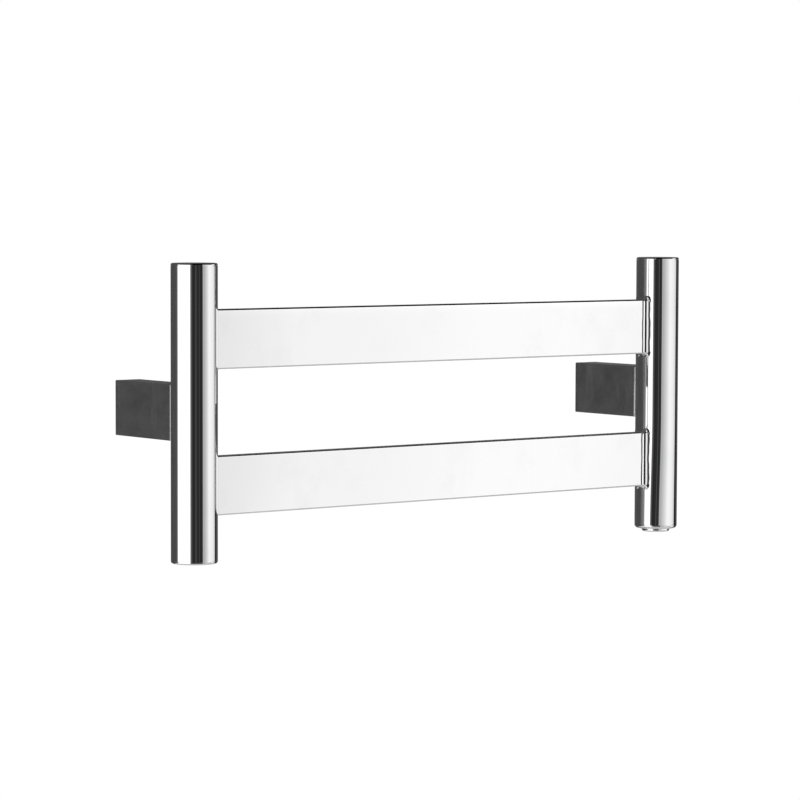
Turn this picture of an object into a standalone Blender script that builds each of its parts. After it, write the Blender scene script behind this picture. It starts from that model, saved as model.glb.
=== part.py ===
"""Towel warmer rack: two round uprights, two flat bars, two box brackets and a push-button switch.

Metres, +Z up. The origin is on the wall, midway between the brackets. The front faces -Y and the wall
is at y = 0.
"""

import math

import bmesh
import bpy
from mathutils import Vector

# Driving sizes
UPRIGHT_SPACING = 0.530
WALL_DISTANCE = 0.102
UPRIGHT_DIAMETER = 0.040
UPRIGHT_WALL = 0.0012
END_MARGIN = 0.0395
BAR_HEIGHT = 0.051
BAR_GAP = 0.074
BAR_THICKNESS = 0.010
BAR_WALL = 0.001
BAR_CORNER = 0.0015
BAR_INSERTION = 0.001

CAP_THICKNESS = 0.002
CAP_EDGE = 0.0008
SPIGOT_LENGTH = 0.004

BRACKET_WIDTH = 0.026
BRACKET_HEIGHT = 0.048
BRACKET_WALL = 0.0015
BRACKET_CORNER = 0.001
END_PLATE_THICKNESS = 0.002
WALL_PLATE_THICKNESS = 0.002
BOSS_LENGTH = 0.026
WALL_SCREW_HOLE = 0.0055
WALL_SCREW_HEAD = 0.0100
WALL_SCREW_SPACING = 0.028
SUPPLY_CHANNEL = 0.010

RING_WALL = 0.0027
RING_LENGTH = 0.010
BARREL_WALL = 0.001
BARREL_LENGTH = 0.0115
BEZEL_INSET = 0.0003
BEZEL_THICKNESS = 0.002
BEZEL_EDGE = 0.0016
BUTTON_LIP = 0.0012
BUTTON_PROTRUSION = 0.0026
BUTTON_TRAVEL = 0.0025
BUTTON_EDGE = 0.0007

SCREW_RADIUS = 0.003
SCREW_LENGTH = 0.0145
SCREW_HEAD_RADIUS = 0.005
SCREW_HEAD_HEIGHT = 0.0033
SCREW_KEY = 0.004
NUT_SIDE = 0.010
NUT_DEPTH = 0.005
GRUB_RADIUS = 0.0024
GRUB_LENGTH = 0.006
GROMMET_HOLE = 0.0092
LEAD_DIAMETER = 0.0024
CABLE_DIAMETER = 0.004
WASHER_THICKNESS = 0.0008
TERMINAL_DEPTH = 0.014
TERMINAL_SIDE_GAP = 0.001

GAP = 0.0003
CUT_OVERRUN = 0.001
ROUND = 40
SMALL_ROUND = 20

# Sizes and places that follow
UPRIGHT_HEIGHT = 2 * END_MARGIN + 2 * BAR_HEIGHT + BAR_GAP
UPRIGHT_RADIUS = UPRIGHT_DIAMETER / 2
INNER_RADIUS = UPRIGHT_RADIUS - UPRIGHT_WALL
HALF_SPACING = UPRIGHT_SPACING / 2
UPRIGHT_Y = -WALL_DISTANCE
TOP = UPRIGHT_HEIGHT / 2
BAR_Z = (BAR_GAP + BAR_HEIGHT) / 2
BAR_END = HALF_SPACING - math.sqrt(INNER_RADIUS**2 - (BAR_THICKNESS / 2) ** 2) + BAR_INSERTION
SPIGOT_RADIUS = INNER_RADIUS - GAP
TUBE_TOP = TOP - CAP_THICKNESS - GAP

BOX_FRONT = UPRIGHT_Y + UPRIGHT_RADIUS + GAP
BOX_REAR = -WALL_PLATE_THICKNESS - GAP
PLATE_REAR = BOX_FRONT + END_PLATE_THICKNESS
BOX_INNER_WIDTH = BRACKET_WIDTH - 2 * BRACKET_WALL
BOX_INNER_HEIGHT = BRACKET_HEIGHT - 2 * BRACKET_WALL
BOSS_FRONT = -WALL_PLATE_THICKNESS - BOSS_LENGTH
SCREW_Z = BOX_INNER_HEIGHT / 2 - 0.006
GROMMET_Z = -BOX_INNER_HEIGHT / 2 + 0.007
GRUB_Y = -WALL_PLATE_THICKNESS - BOSS_LENGTH / 2
WASHER_BORE = SCREW_RADIUS + GAP
WASHER_RADIUS = SCREW_HEAD_RADIUS + 0.0005
HEAD_SEAT = PLATE_REAR + GAP + WASHER_THICKNESS + GAP
TERMINAL_BOTTOM = GROMMET_Z + 0.0085
TERMINAL_TOP = SCREW_Z - 0.0055
TERMINAL_Z = (TERMINAL_BOTTOM + TERMINAL_TOP) / 2
TERMINAL_FRONT = PLATE_REAR + GAP
TERMINAL_REAR = TERMINAL_FRONT + TERMINAL_DEPTH
TUNNEL_Y = TERMINAL_FRONT + TERMINAL_DEPTH / 2
TERMINAL_WIDTH = BOX_INNER_WIDTH - 2 * TERMINAL_SIDE_GAP
POLE_PITCH = TERMINAL_WIDTH / 3

RING_BORE = SPIGOT_RADIUS - RING_WALL
BARREL_RADIUS = RING_BORE - GAP
BARREL_BORE = BARREL_RADIUS - BARREL_WALL
FLANGE_RADIUS = BARREL_BORE - GAP
BUTTON_RADIUS = FLANGE_RADIUS - BUTTON_LIP
BEZEL_TOP = -TOP
BEZEL_BOTTOM = BEZEL_TOP - BEZEL_THICKNESS
BUTTON_FACE = BEZEL_BOTTOM - BUTTON_PROTRUSION
BARREL_TOP = BEZEL_TOP + BARREL_LENGTH
FLANGE_BOTTOM = BEZEL_TOP + GAP
FLANGE_TOP = FLANGE_BOTTOM + 0.0015
BODY_SPIGOT = 0.002
BODY_HEIGHT = 0.016
BODY_BOTTOM = BARREL_TOP - BODY_SPIGOT
BODY_TOP = BARREL_TOP + BODY_HEIGHT
STEM_RADIUS = 0.004
STEM_TOP = BARREL_TOP + 0.006
CONTACT_THICKNESS = 0.001
SEAL_RECESS = 0.0015
TAIL_X = 0.004
TAIL_THICKNESS = 0.0008
TAIL_WIDTH = 0.0048
CONTACT_GAP = BUTTON_TRAVEL + GAP
TAIL_TOP = BODY_TOP + 0.005


def clear_scene():
    for item in list(bpy.data.objects):
        bpy.data.objects.remove(item, do_unlink=True)


def finish_of(name, colour, roughness, metallic):
    """A Principled material with one colour, roughness and metallic value."""
    finish = bpy.data.materials.new(name)
    finish.use_nodes = True
    shader = finish.node_tree.nodes["Principled BSDF"]
    shader.inputs["Base Color"].default_value = (*colour, 1.0)
    shader.inputs["Roughness"].default_value = roughness
    shader.inputs["Metallic"].default_value = metallic
    finish.diffuse_color = (*colour, 1.0)
    return finish


clear_scene()
POLISHED = finish_of("polished_stainless", (0.80, 0.80, 0.81), 0.05, 1.0)
STEEL = finish_of("plain_steel", (0.55, 0.55, 0.56), 0.35, 1.0)
CAST = finish_of("cast_aluminium", (0.62, 0.63, 0.64), 0.45, 1.0)
BRASS = finish_of("brass", (0.75, 0.58, 0.28), 0.30, 1.0)
BLACK_PLASTIC = finish_of("black_plastic", (0.03, 0.03, 0.035), 0.50, 0.0)
WHITE_PLASTIC = finish_of("white_plastic", (0.85, 0.84, 0.80), 0.45, 0.0)
RUBBER = finish_of("black_rubber", (0.02, 0.02, 0.02), 0.70, 0.0)
RED_SILICONE = finish_of("red_silicone", (0.45, 0.05, 0.03), 0.55, 0.0)
BROWN_SILICONE = finish_of("brown_silicone", (0.20, 0.09, 0.04), 0.55, 0.0)
BLUE_SILICONE = finish_of("blue_silicone", (0.04, 0.12, 0.42), 0.55, 0.0)
EARTH_SILICONE = finish_of("green_yellow_silicone", (0.35, 0.55, 0.08), 0.55, 0.0)


# Shape helpers


def empty_at(name, place):
    """An unrendered marker that pieces are parented to."""
    marker = bpy.data.objects.new(name, None)
    marker.location = place
    bpy.context.scene.collection.objects.link(marker)
    return marker


def object_of(name, mesh, finish, parent=None, place=(0, 0, 0), turn=(0, 0, 0)):
    piece = bpy.data.objects.new(name, mesh)
    piece.location = place
    piece.rotation_euler = turn
    piece.parent = parent
    if finish is not None:
        mesh.materials.append(finish)
    bpy.context.scene.collection.objects.link(piece)
    return piece


def mesh_of(shape, smooth_below=35):
    """A mesh from a bmesh, faces out, smooth except across edges sharper than the angle in degrees."""
    bmesh.ops.recalc_face_normals(shape, faces=shape.faces)
    mesh = bpy.data.meshes.new("shape")
    shape.to_mesh(mesh)
    shape.free()
    mesh.shade_smooth()
    mesh.set_sharp_from_angle(angle=math.radians(smooth_below))
    return mesh


def turned(profile, segments=ROUND):
    """A body of revolution about Z. Its profile, in (radius, height), is a loop that may touch the axis."""
    shape = bmesh.new()
    points = [shape.verts.new((radius, 0, height)) for radius, height in profile]
    ends = zip(points, points[1:] + points[:1])
    edges = [shape.edges.new(pair) for pair in ends if pair[0].co.x > 0 or pair[1].co.x > 0]
    bmesh.ops.spin(
        shape,
        geom=points + edges,
        cent=(0, 0, 0),
        axis=(0, 0, 1),
        angle=2 * math.pi,
        steps=segments,
        use_merge=True,
    )
    bmesh.ops.remove_doubles(shape, verts=shape.verts, dist=1e-7)
    return mesh_of(shape)


def arc(centre_radius, centre_height, radius, start, end, steps=3):
    """Profile points on a circle, from one angle in degrees to another."""
    angles = [math.radians(start + (end - start) * step / steps) for step in range(steps + 1)]
    return [(centre_radius + radius * math.cos(a), centre_height + radius * math.sin(a)) for a in angles]


def rounded_rectangle(width, height, corner, steps=3):
    """Outline points of a rectangle about the origin, anticlockwise, with round corners."""
    outline = []
    for quarter, (side, level) in enumerate(((1, 1), (-1, 1), (-1, -1), (1, -1))):
        centre = (side * (width / 2 - corner), level * (height / 2 - corner))
        outline += arc(*centre, corner, 90 * quarter, 90 * quarter + 90, steps)
    return outline


def rectangle(width, height):
    x, y = width / 2, height / 2
    return [(x, y), (-x, y), (-x, -y), (x, -y)]


def prism(outline, bottom, top, hole=None):
    """An outline in XY, extruded from bottom to top, with an optional hole right through."""
    shape = bmesh.new()
    loops = []
    for points in [outline] + ([hole] if hole else []):
        corners = [shape.verts.new((x, y, bottom)) for x, y in points]
        loops.append([shape.edges.new((a, b)) for a, b in zip(corners, corners[1:] + corners[:1])])
    if hole:
        bmesh.ops.bridge_loops(shape, edges=loops[0] + loops[1])
    else:
        bmesh.ops.contextual_create(shape, geom=loops[0])
    lifted = bmesh.ops.extrude_face_region(shape, geom=list(shape.faces), use_keep_orig=True)
    moved = [item for item in lifted["geom"] if isinstance(item, bmesh.types.BMVert)]
    bmesh.ops.translate(shape, verts=moved, vec=(0, 0, top - bottom))
    return mesh_of(shape)


def cut(piece, name, mesh, parent=None, place=(0, 0, 0), turn=(0, 0, 0), operation="DIFFERENCE"):
    """Takes a shape out of a piece, or adds it, with a hidden cutter object."""
    cutter = object_of(name, mesh, None, parent, place, turn)
    cutter.hide_render = True
    cutter.display_type = "WIRE"
    change = piece.modifiers.new(name, "BOOLEAN")
    change.operation = operation
    change.solver = "EXACT"
    change.object = cutter


def rod(radius, bottom, top, segments=SMALL_ROUND):
    return turned([(0, bottom), (radius, bottom), (radius, top), (0, top)], segments)


ALONG_Y = (-math.pi / 2, 0, 0)
ALONG_X = (0, math.pi / 2, 0)


def smooth_route(route, steps=3):
    """Points on a smooth curve through a route: a centripetal Catmull-Rom spline, evenly stepped."""
    stops = [Vector(point) for point in route]
    stops = [2 * stops[0] - stops[1]] + stops + [2 * stops[-1] - stops[-2]]
    points = []
    for before, start, end, after in zip(stops, stops[1:], stops[2:], stops[3:]):
        t0 = 0.0
        t1 = t0 + math.sqrt((start - before).length)
        t2 = t1 + math.sqrt((end - start).length)
        t3 = t2 + math.sqrt((after - end).length)
        for step in range(steps):
            t = t1 + (t2 - t1) * step / steps
            a = before.lerp(start, (t - t0) / (t1 - t0))
            b = start.lerp(end, (t - t1) / (t2 - t1))
            c = end.lerp(after, (t - t2) / (t3 - t2))
            d = a.lerp(b, (t - t0) / (t2 - t0))
            e = b.lerp(c, (t - t1) / (t3 - t1))
            points.append(d.lerp(e, (t - t1) / (t2 - t1)))
    return points + [stops[-2]]


def wire(name, route, diameter, finish, resolution=2, steps=3):
    """A round wire along a smooth route in world coordinates."""
    curve = bpy.data.curves.new(name, "CURVE")
    curve.dimensions = "3D"
    curve.bevel_depth = diameter / 2
    curve.bevel_resolution = resolution
    curve.use_fill_caps = True
    points = smooth_route(route, steps)
    spline = curve.splines.new("POLY")
    spline.points.add(len(points) - 1)
    for slot, point in zip(spline.points, points):
        slot.co = (*point, 1.0)
    return object_of(name, curve, finish)


# Uprights, with slots for the bars and holes towards the brackets

SIDES = {"left": -1, "right": 1}
AXES = {side: empty_at(f"{side}_axis", (way * HALF_SPACING, UPRIGHT_Y, 0)) for side, way in SIDES.items()}

def upright_tube(side, way):
    profile = [(INNER_RADIUS, -TUBE_TOP), (UPRIGHT_RADIUS, -TUBE_TOP)]
    profile += [(UPRIGHT_RADIUS, TUBE_TOP), (INNER_RADIUS, TUBE_TOP)]
    tube = object_of(f"{side}_upright_tube", turned(profile), POLISHED, AXES[side])
    slot = rounded_rectangle(BAR_THICKNESS + 2 * GAP, BAR_HEIGHT + 2 * GAP, BAR_CORNER + GAP)
    outward = [(z, y) for y, z in slot]
    for level, name in ((BAR_Z, "upper"), (-BAR_Z, "lower")):
        reach = prism(outward, 0, UPRIGHT_RADIUS + CUT_OVERRUN)
        cut(tube, f"{side}_{name}_slot", reach, AXES[side], (0, 0, level), (0, way * -math.pi / 2, 0))
    hole = rod(SCREW_RADIUS + GAP, 0, UPRIGHT_RADIUS + CUT_OVERRUN)
    cut(tube, f"{side}_screw_hole", hole, AXES[side], (0, 0, SCREW_Z), ALONG_Y)
    if side == "right":
        hole = rod(GROMMET_HOLE / 2, 0, UPRIGHT_RADIUS + CUT_OVERRUN)
        cut(tube, "right_wiring_hole", hole, AXES[side], (0, 0, GROMMET_Z), ALONG_Y)


def end_cap(name, side, flip):
    """A cap with a polished round edge and a spigot inside the tube. flip is 1 on top and -1 below."""
    profile = [(0, -SPIGOT_LENGTH - CAP_THICKNESS), (SPIGOT_RADIUS, -SPIGOT_LENGTH - CAP_THICKNESS)]
    profile += [(SPIGOT_RADIUS, -CAP_THICKNESS), (UPRIGHT_RADIUS, -CAP_THICKNESS)]
    profile += arc(UPRIGHT_RADIUS - CAP_EDGE, -CAP_EDGE, CAP_EDGE, 0, 90)
    profile += [(0, 0)]
    turn = (0, 0, 0) if flip > 0 else (math.pi, 0, 0)
    object_of(name, turned(profile), POLISHED, AXES[side], (0, 0, flip * TOP), turn)


for side_name, side_way in SIDES.items():
    upright_tube(side_name, side_way)
    end_cap(f"{side_name}_top_cap", side_name, 1)
end_cap("left_bottom_cap", "left", -1)


# Flat bars, rectangular tubes whose open ends sit in the uprights' slots


def flat_bar(name, level):
    outer = rounded_rectangle(BAR_HEIGHT, BAR_THICKNESS, BAR_CORNER)
    inner = rounded_rectangle(BAR_HEIGHT - 2 * BAR_WALL, BAR_THICKNESS - 2 * BAR_WALL, BAR_CORNER - BAR_WALL)
    object_of(name, prism(outer, -BAR_END, BAR_END, inner), POLISHED, None, (0, UPRIGHT_Y, level), ALONG_X)


flat_bar("upper_flat_bar", BAR_Z)
flat_bar("lower_flat_bar", -BAR_Z)


# Brackets: a box sleeve with an end plate in front, slid over a cast base on the wall


def bracket_sleeve(side, centre):
    outer = rounded_rectangle(BRACKET_WIDTH, BRACKET_HEIGHT, BRACKET_CORNER)
    inner = rounded_rectangle(BOX_INNER_WIDTH, BOX_INNER_HEIGHT, BRACKET_CORNER / 4)
    tube = prism(outer, BOX_FRONT, BOX_REAR, inner)
    sleeve = object_of(f"{side}_bracket_sleeve", tube, POLISHED, centre, (0, 0, 0), ALONG_Y)
    underside = -BRACKET_HEIGHT / 2
    hole = rod(GRUB_RADIUS + 2 * GAP, underside - CUT_OVERRUN, underside + BRACKET_WALL + CUT_OVERRUN)
    cut(sleeve, f"{side}_grub_hole", hole, centre, (0, GRUB_Y, 0))


def end_plate(side, centre):
    """The plate inside the front of the sleeve, drilled for the upright screw and the wiring."""
    outline = rounded_rectangle(BOX_INNER_WIDTH - 2 * GAP, BOX_INNER_HEIGHT - 2 * GAP, BRACKET_CORNER)
    sheet = prism(outline, BOX_FRONT, PLATE_REAR)
    plate = object_of(f"{side}_end_plate", sheet, STEEL, centre, (0, 0, 0), ALONG_Y)
    ends = (BOX_FRONT - CUT_OVERRUN, PLATE_REAR + CUT_OVERRUN)
    cut(plate, f"{side}_plate_screw_hole", rod(SCREW_RADIUS + GAP, *ends), centre, (0, 0, SCREW_Z), ALONG_Y)
    cut(plate, f"{side}_plate_wiring_hole", rod(GROMMET_HOLE / 2, *ends), centre, (0, 0, GROMMET_Z), ALONG_Y)


def wall_base(side, centre):
    """The cast base that the wall screws hold: a plate on the wall and a boss inside the sleeve."""
    outline = rounded_rectangle(BRACKET_WIDTH, BRACKET_HEIGHT, BRACKET_CORNER)
    plate = prism(outline, -WALL_PLATE_THICKNESS, 0)
    base = object_of(f"{side}_wall_base", plate, CAST, centre, (0, 0, 0), ALONG_Y)
    boss = rounded_rectangle(BOX_INNER_WIDTH - 2 * GAP, BOX_INNER_HEIGHT - 2 * GAP, BRACKET_CORNER)
    joined = prism(boss, BOSS_FRONT, -WALL_PLATE_THICKNESS / 2)
    cut(base, f"{side}_boss", joined, centre, (0, 0, 0), ALONG_Y, "UNION")
    for level, name in ((WALL_SCREW_SPACING / 2, "upper"), (-WALL_SCREW_SPACING / 2, "lower")):
        radius, head = WALL_SCREW_HOLE / 2, WALL_SCREW_HEAD / 2
        slope = BOSS_FRONT + head - radius
        profile = [(0, BOSS_FRONT - CUT_OVERRUN), (head, BOSS_FRONT - CUT_OVERRUN), (head, BOSS_FRONT)]
        profile += [(radius, slope), (radius, CUT_OVERRUN), (0, CUT_OVERRUN)]
        cut(base, f"{side}_{name}_wall_hole", turned(profile, SMALL_ROUND), centre, (0, 0, level), ALONG_Y)
    channel = rod(SUPPLY_CHANNEL / 2, BOSS_FRONT - CUT_OVERRUN, CUT_OVERRUN)
    cut(base, f"{side}_supply_channel", channel, centre, (0, 0, 0), ALONG_Y)
    thread = rod(GRUB_RADIUS + GAP, -BRACKET_HEIGHT / 2, -BRACKET_HEIGHT / 2 + GRUB_LENGTH + 2 * GAP)
    cut(base, f"{side}_grub_thread", thread, centre, (0, GRUB_Y, 0))


def socket_screw(name, radius, length, head, parent, place, segments=16):
    """A domed steel screw along Y with a hexagon socket in its rear end. Its head's seat is at the place.

    The head is its radius, its height and the socket's width across flats.
    """
    head_radius, head_height, key = head
    dome = min(head_radius, head_height) * 0.45
    profile = [(0, -length), (radius * 0.8, -length), (radius, -length + radius * 0.3), (radius, 0)]
    profile += [(head_radius, 0), (head_radius, head_height - dome)]
    profile += [(head_radius - dome, head_height), (0, head_height)]
    screw = object_of(name, turned(profile, segments), STEEL, parent, place, ALONG_Y)
    recess = rod(key / math.sqrt(3), head_height * 0.4, head_height + CUT_OVERRUN, 6)
    cut(screw, f"{name}_socket", recess, parent, place, ALONG_Y)


def grub_screw(side, centre):
    """A socket grub screw, screwed up into the base from under the sleeve."""
    chamfer = GRUB_RADIUS * 0.3
    profile = [(0, 0), (GRUB_RADIUS - chamfer, 0), (GRUB_RADIUS, chamfer)]
    profile += [(GRUB_RADIUS, GRUB_LENGTH - chamfer), (GRUB_RADIUS - chamfer, GRUB_LENGTH), (0, GRUB_LENGTH)]
    place = (0, GRUB_Y, -BRACKET_HEIGHT / 2 + GAP)
    grub = object_of(f"{side}_grub_screw", turned(profile, 16), STEEL, centre, place)
    recess = rod(GRUB_RADIUS * 0.55, -CUT_OVERRUN, GRUB_LENGTH * 0.45, 6)
    cut(grub, f"{side}_grub_socket", recess, centre, place)


def weld_nut(side):
    """A square nut welded inside the upright, behind the screw hole."""
    face = math.sqrt(INNER_RADIUS**2 - (NUT_SIDE / 2) ** 2) - GAP
    nut = prism(rectangle(NUT_SIDE, NUT_SIDE), face - NUT_DEPTH, face)
    piece = object_of(f"{side}_weld_nut", nut, STEEL, AXES[side], (0, 0, SCREW_Z), ALONG_Y)
    thread = rod(SCREW_RADIUS + GAP, face - NUT_DEPTH - CUT_OVERRUN, face + CUT_OVERRUN)
    cut(piece, f"{side}_nut_thread", thread, AXES[side], (0, 0, SCREW_Z), ALONG_Y)


CENTRES = {side: empty_at(f"{side}_bracket_axis", (way * HALF_SPACING, 0, 0)) for side, way in SIDES.items()}

for side_name, axis_marker in CENTRES.items():
    bracket_sleeve(side_name, axis_marker)
    end_plate(side_name, axis_marker)
    wall_base(side_name, axis_marker)
    grub_screw(side_name, axis_marker)
    weld_nut(side_name)
    screw_name = f"{side_name}_upright_screw"
    screw_head = (SCREW_HEAD_RADIUS, SCREW_HEAD_HEIGHT, SCREW_KEY)
    socket_screw(screw_name, SCREW_RADIUS, SCREW_LENGTH, screw_head, axis_marker, (0, HEAD_SEAT, SCREW_Z))

washer = [(WASHER_BORE, 0), (WASHER_RADIUS, 0)]
washer += [(WASHER_RADIUS, WASHER_THICKNESS), (WASHER_BORE, WASHER_THICKNESS)]
SEAT = (0, PLATE_REAR + GAP, SCREW_Z)
object_of("left_screw_washer", turned(washer, SMALL_ROUND), STEEL, CENTRES["left"], SEAT, ALONG_Y)


# Right bracket: earth ring, wiring grommets and terminal block

RIGHT = CENTRES["right"]
EARTH_SLEEVE_X = WASHER_RADIUS + 0.0018
EARTH_SLEEVE_RADIUS = 0.0018
EARTH_SLEEVE_LENGTH = 0.007


def earth_ring():
    """A ring under the right screw's head, with a tab and a crimp sleeve that points to the wall."""
    ring = object_of("earth_ring_terminal", turned(washer, SMALL_ROUND), BRASS, RIGHT, SEAT, ALONG_Y)
    tab_centre = (WASHER_BORE + EARTH_SLEEVE_X) / 2 + WASHER_THICKNESS
    tab = rectangle(EARTH_SLEEVE_X - WASHER_BORE, 2 * EARTH_SLEEVE_RADIUS)
    place = (tab_centre, PLATE_REAR + GAP, SCREW_Z)
    cut(ring, "earth_tab", prism(tab, 0, WASHER_THICKNESS), RIGHT, place, ALONG_Y, "UNION")
    sleeve = rod(EARTH_SLEEVE_RADIUS, WASHER_THICKNESS / 4, EARTH_SLEEVE_LENGTH, 16)
    place = (EARTH_SLEEVE_X, PLATE_REAR + GAP, SCREW_Z)
    cut(ring, "earth_sleeve", sleeve, RIGHT, place, ALONG_Y, "UNION")


def grommet(name, outer, bore, start, end, flange, flange_start, flange_end, parent, level):
    """A rubber bush along Y with one flange."""
    profile = [(bore, start), (outer, start), (outer, flange_start), (flange, flange_start)]
    profile += [(flange, flange_end), (bore, flange_end)]
    if end > flange_end:
        profile[-1:] = [(outer, flange_end), (outer, end), (bore, end)]
    object_of(name, turned(profile, SMALL_ROUND), RUBBER, parent, (0, 0, level), ALONG_Y)


GROMMET_OUTER = GROMMET_HOLE / 2 - GAP
GROMMET_BORE = 0.0032
GROMMET_START = UPRIGHT_Y + math.sqrt(INNER_RADIUS**2 - GROMMET_OUTER**2) - 0.001
FLANGE_SEAT = PLATE_REAR + GAP
earth_ring()
grommet(
    "wiring_grommet",
    GROMMET_OUTER,
    GROMMET_BORE,
    GROMMET_START,
    FLANGE_SEAT + 0.001,
    GROMMET_OUTER + 0.001,
    FLANGE_SEAT,
    FLANGE_SEAT + 0.001,
    RIGHT,
    GROMMET_Z,
)
CHANNEL_OUTER = SUPPLY_CHANNEL / 2 - GAP
grommet(
    "supply_grommet",
    CHANNEL_OUTER,
    CHANNEL_OUTER - 0.0012,
    BOSS_FRONT - GAP - 0.001,
    -GAP,
    CHANNEL_OUTER + 0.001,
    BOSS_FRONT - GAP - 0.001,
    BOSS_FRONT - GAP,
    RIGHT,
    0,
)

TUNNEL_RADIUS = LEAD_DIAMETER / 2 + 0.0004
WELL_RADIUS = 0.0017
TERMINAL_SCREW_RADIUS = WELL_RADIUS - GAP
WELL_MARGIN = (TERMINAL_TOP - TERMINAL_BOTTOM) / 4
WELL_LEVELS = {"supply": TERMINAL_TOP - WELL_MARGIN, "rack": TERMINAL_BOTTOM + WELL_MARGIN}
POLES = {"live": -POLE_PITCH, "earth": 0.0, "neutral": POLE_PITCH}
FIXING_X = POLE_PITCH / 2


def terminal_block():
    """Three poles side by side, each a tunnel along Z with two screw wells that face the wall."""
    outline = rounded_rectangle(TERMINAL_WIDTH, TERMINAL_TOP - TERMINAL_BOTTOM, 0.001, 2)
    body = prism(outline, TERMINAL_FRONT, TERMINAL_REAR)
    block = object_of("terminal_block", body, WHITE_PLASTIC, RIGHT, (0, 0, TERMINAL_Z), ALONG_Y)
    for pole, offset in POLES.items():
        ends = (TERMINAL_BOTTOM - CUT_OVERRUN, TERMINAL_TOP + CUT_OVERRUN)
        cut(block, f"{pole}_tunnel", rod(TUNNEL_RADIUS, *ends, 12), RIGHT, (offset, TUNNEL_Y, 0))
        for row, level in WELL_LEVELS.items():
            well = rod(WELL_RADIUS, TUNNEL_Y, TERMINAL_REAR + CUT_OVERRUN, 12)
            cut(block, f"{pole}_{row}_well", well, RIGHT, (offset, 0, level), ALONG_Y)
    hole = rod(0.0015, TERMINAL_FRONT - CUT_OVERRUN, TERMINAL_REAR + CUT_OVERRUN, 12)
    cut(block, "fixing_hole", hole, RIGHT, (FIXING_X, 0, TERMINAL_Z), ALONG_Y)


def slotted_screw(name, radius, tip, top, place):
    """A headless brass screw along Y with a driver slot in its rear end."""
    screw = object_of(name, rod(radius, tip, top, 12), BRASS, RIGHT, place, ALONG_Y)
    slot = prism(rectangle(4 * radius, radius / 2), top - radius / 2, top + CUT_OVERRUN)
    cut(screw, f"{name}_slot", slot, RIGHT, place, ALONG_Y)


terminal_block()
SCREW_TIP = TUNNEL_Y + LEAD_DIAMETER / 2 + GAP
for pole_name, pole_x in POLES.items():
    for row_name, row_z in WELL_LEVELS.items():
        name = f"{pole_name}_{row_name}_terminal_screw"
        slotted_screw(name, TERMINAL_SCREW_RADIUS, SCREW_TIP, TERMINAL_REAR - GAP, (pole_x, 0, row_z))

FIXING_RADIUS = 0.0012
FIXING_LENGTH = TERMINAL_DEPTH + GAP
FIXING_HEAD = (0.0021, 0.0016, 0.0018)
FIXING_SEAT = (FIXING_X, TERMINAL_REAR + GAP, TERMINAL_Z)
socket_screw("terminal_fixing_screw", FIXING_RADIUS, FIXING_LENGTH, FIXING_HEAD, RIGHT, FIXING_SEAT, 12)


# Switch in the bottom of the right upright

SWITCH_AXIS = AXES["right"]


def bottom_ring():
    """The threaded ring in the right upright's lower end, with a recess for the seal."""
    bottom, edge = -TOP, CAP_EDGE
    recess = RING_BORE + SEAL_RECESS
    spigot = bottom + CAP_THICKNESS
    profile = [(recess, bottom)] + arc(UPRIGHT_RADIUS - edge, bottom + edge, edge, -90, 0)
    profile += [(UPRIGHT_RADIUS, spigot), (SPIGOT_RADIUS, spigot), (SPIGOT_RADIUS, bottom + RING_LENGTH)]
    profile += [(RING_BORE, bottom + RING_LENGTH), (RING_BORE, bottom + SEAL_RECESS)]
    profile += [(recess, bottom + SEAL_RECESS)]
    object_of("right_bottom_ring", turned(profile), POLISHED, SWITCH_AXIS)


def switch_seal():
    """A rubber ring in the recess, around the bezel's barrel."""
    radius = (SEAL_RECESS - GAP) / 2
    centre = BARREL_RADIUS + GAP + radius
    section = arc(centre, BEZEL_TOP + GAP + radius, radius, 0, 360, 6)[:-1]
    object_of("switch_seal", turned(section), RUBBER, SWITCH_AXIS)


def switch_bezel():
    """A flange with a round edge below the ring, and a threaded barrel inside it."""
    bore = BUTTON_RADIUS + GAP
    rim = UPRIGHT_RADIUS - BEZEL_INSET
    top = BEZEL_TOP - GAP
    profile = [(bore, BEZEL_BOTTOM)] + arc(rim - BEZEL_EDGE, BEZEL_BOTTOM + BEZEL_EDGE, BEZEL_EDGE, -90, 0)
    profile += [(rim, top), (BARREL_RADIUS, top), (BARREL_RADIUS, BARREL_TOP), (BARREL_BORE, BARREL_TOP)]
    profile += [(BARREL_BORE, BEZEL_TOP), (bore, BEZEL_TOP)]
    object_of("switch_bezel", turned(profile), POLISHED, SWITCH_AXIS)


def switch_body():
    """A plastic housing on the barrel. The button's stem slides in its floor, under the contacts."""
    outer, spigot, hollow, guide = BARREL_RADIUS, FLANGE_RADIUS, 0.0095, STEM_RADIUS + GAP
    shoulder, floor, roof = BARREL_TOP + GAP, BARREL_TOP + 0.002, BODY_TOP - 0.002
    profile = [(guide, BODY_BOTTOM), (spigot, BODY_BOTTOM), (spigot, shoulder), (outer, shoulder)]
    profile += [(outer, BODY_TOP - 0.001), (outer - 0.001, BODY_TOP), (0, BODY_TOP)]
    profile += [(0, roof), (hollow, roof), (hollow, floor), (guide, floor)]
    body = object_of("switch_body", turned(profile), BLACK_PLASTIC, SWITCH_AXIS)
    for side, way in SIDES.items():
        opening = rectangle(TAIL_THICKNESS + 2 * GAP, TAIL_WIDTH + 2 * GAP)
        slot = prism(opening, roof - CUT_OVERRUN, BODY_TOP + CUT_OVERRUN)
        cut(body, f"{side}_tail_slot", slot, SWITCH_AXIS, (way * TAIL_X, 0, 0))


def switch_tail(name, way):
    """A brass blade through the housing's roof: a wire tag above and a contact face below."""
    bottom = STEM_TOP + CONTACT_THICKNESS + CONTACT_GAP + GAP
    blade = prism(rectangle(TAIL_THICKNESS, TAIL_WIDTH), bottom, TAIL_TOP)
    object_of(name, blade, BRASS, SWITCH_AXIS, (way * TAIL_X, 0, 0))


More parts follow.
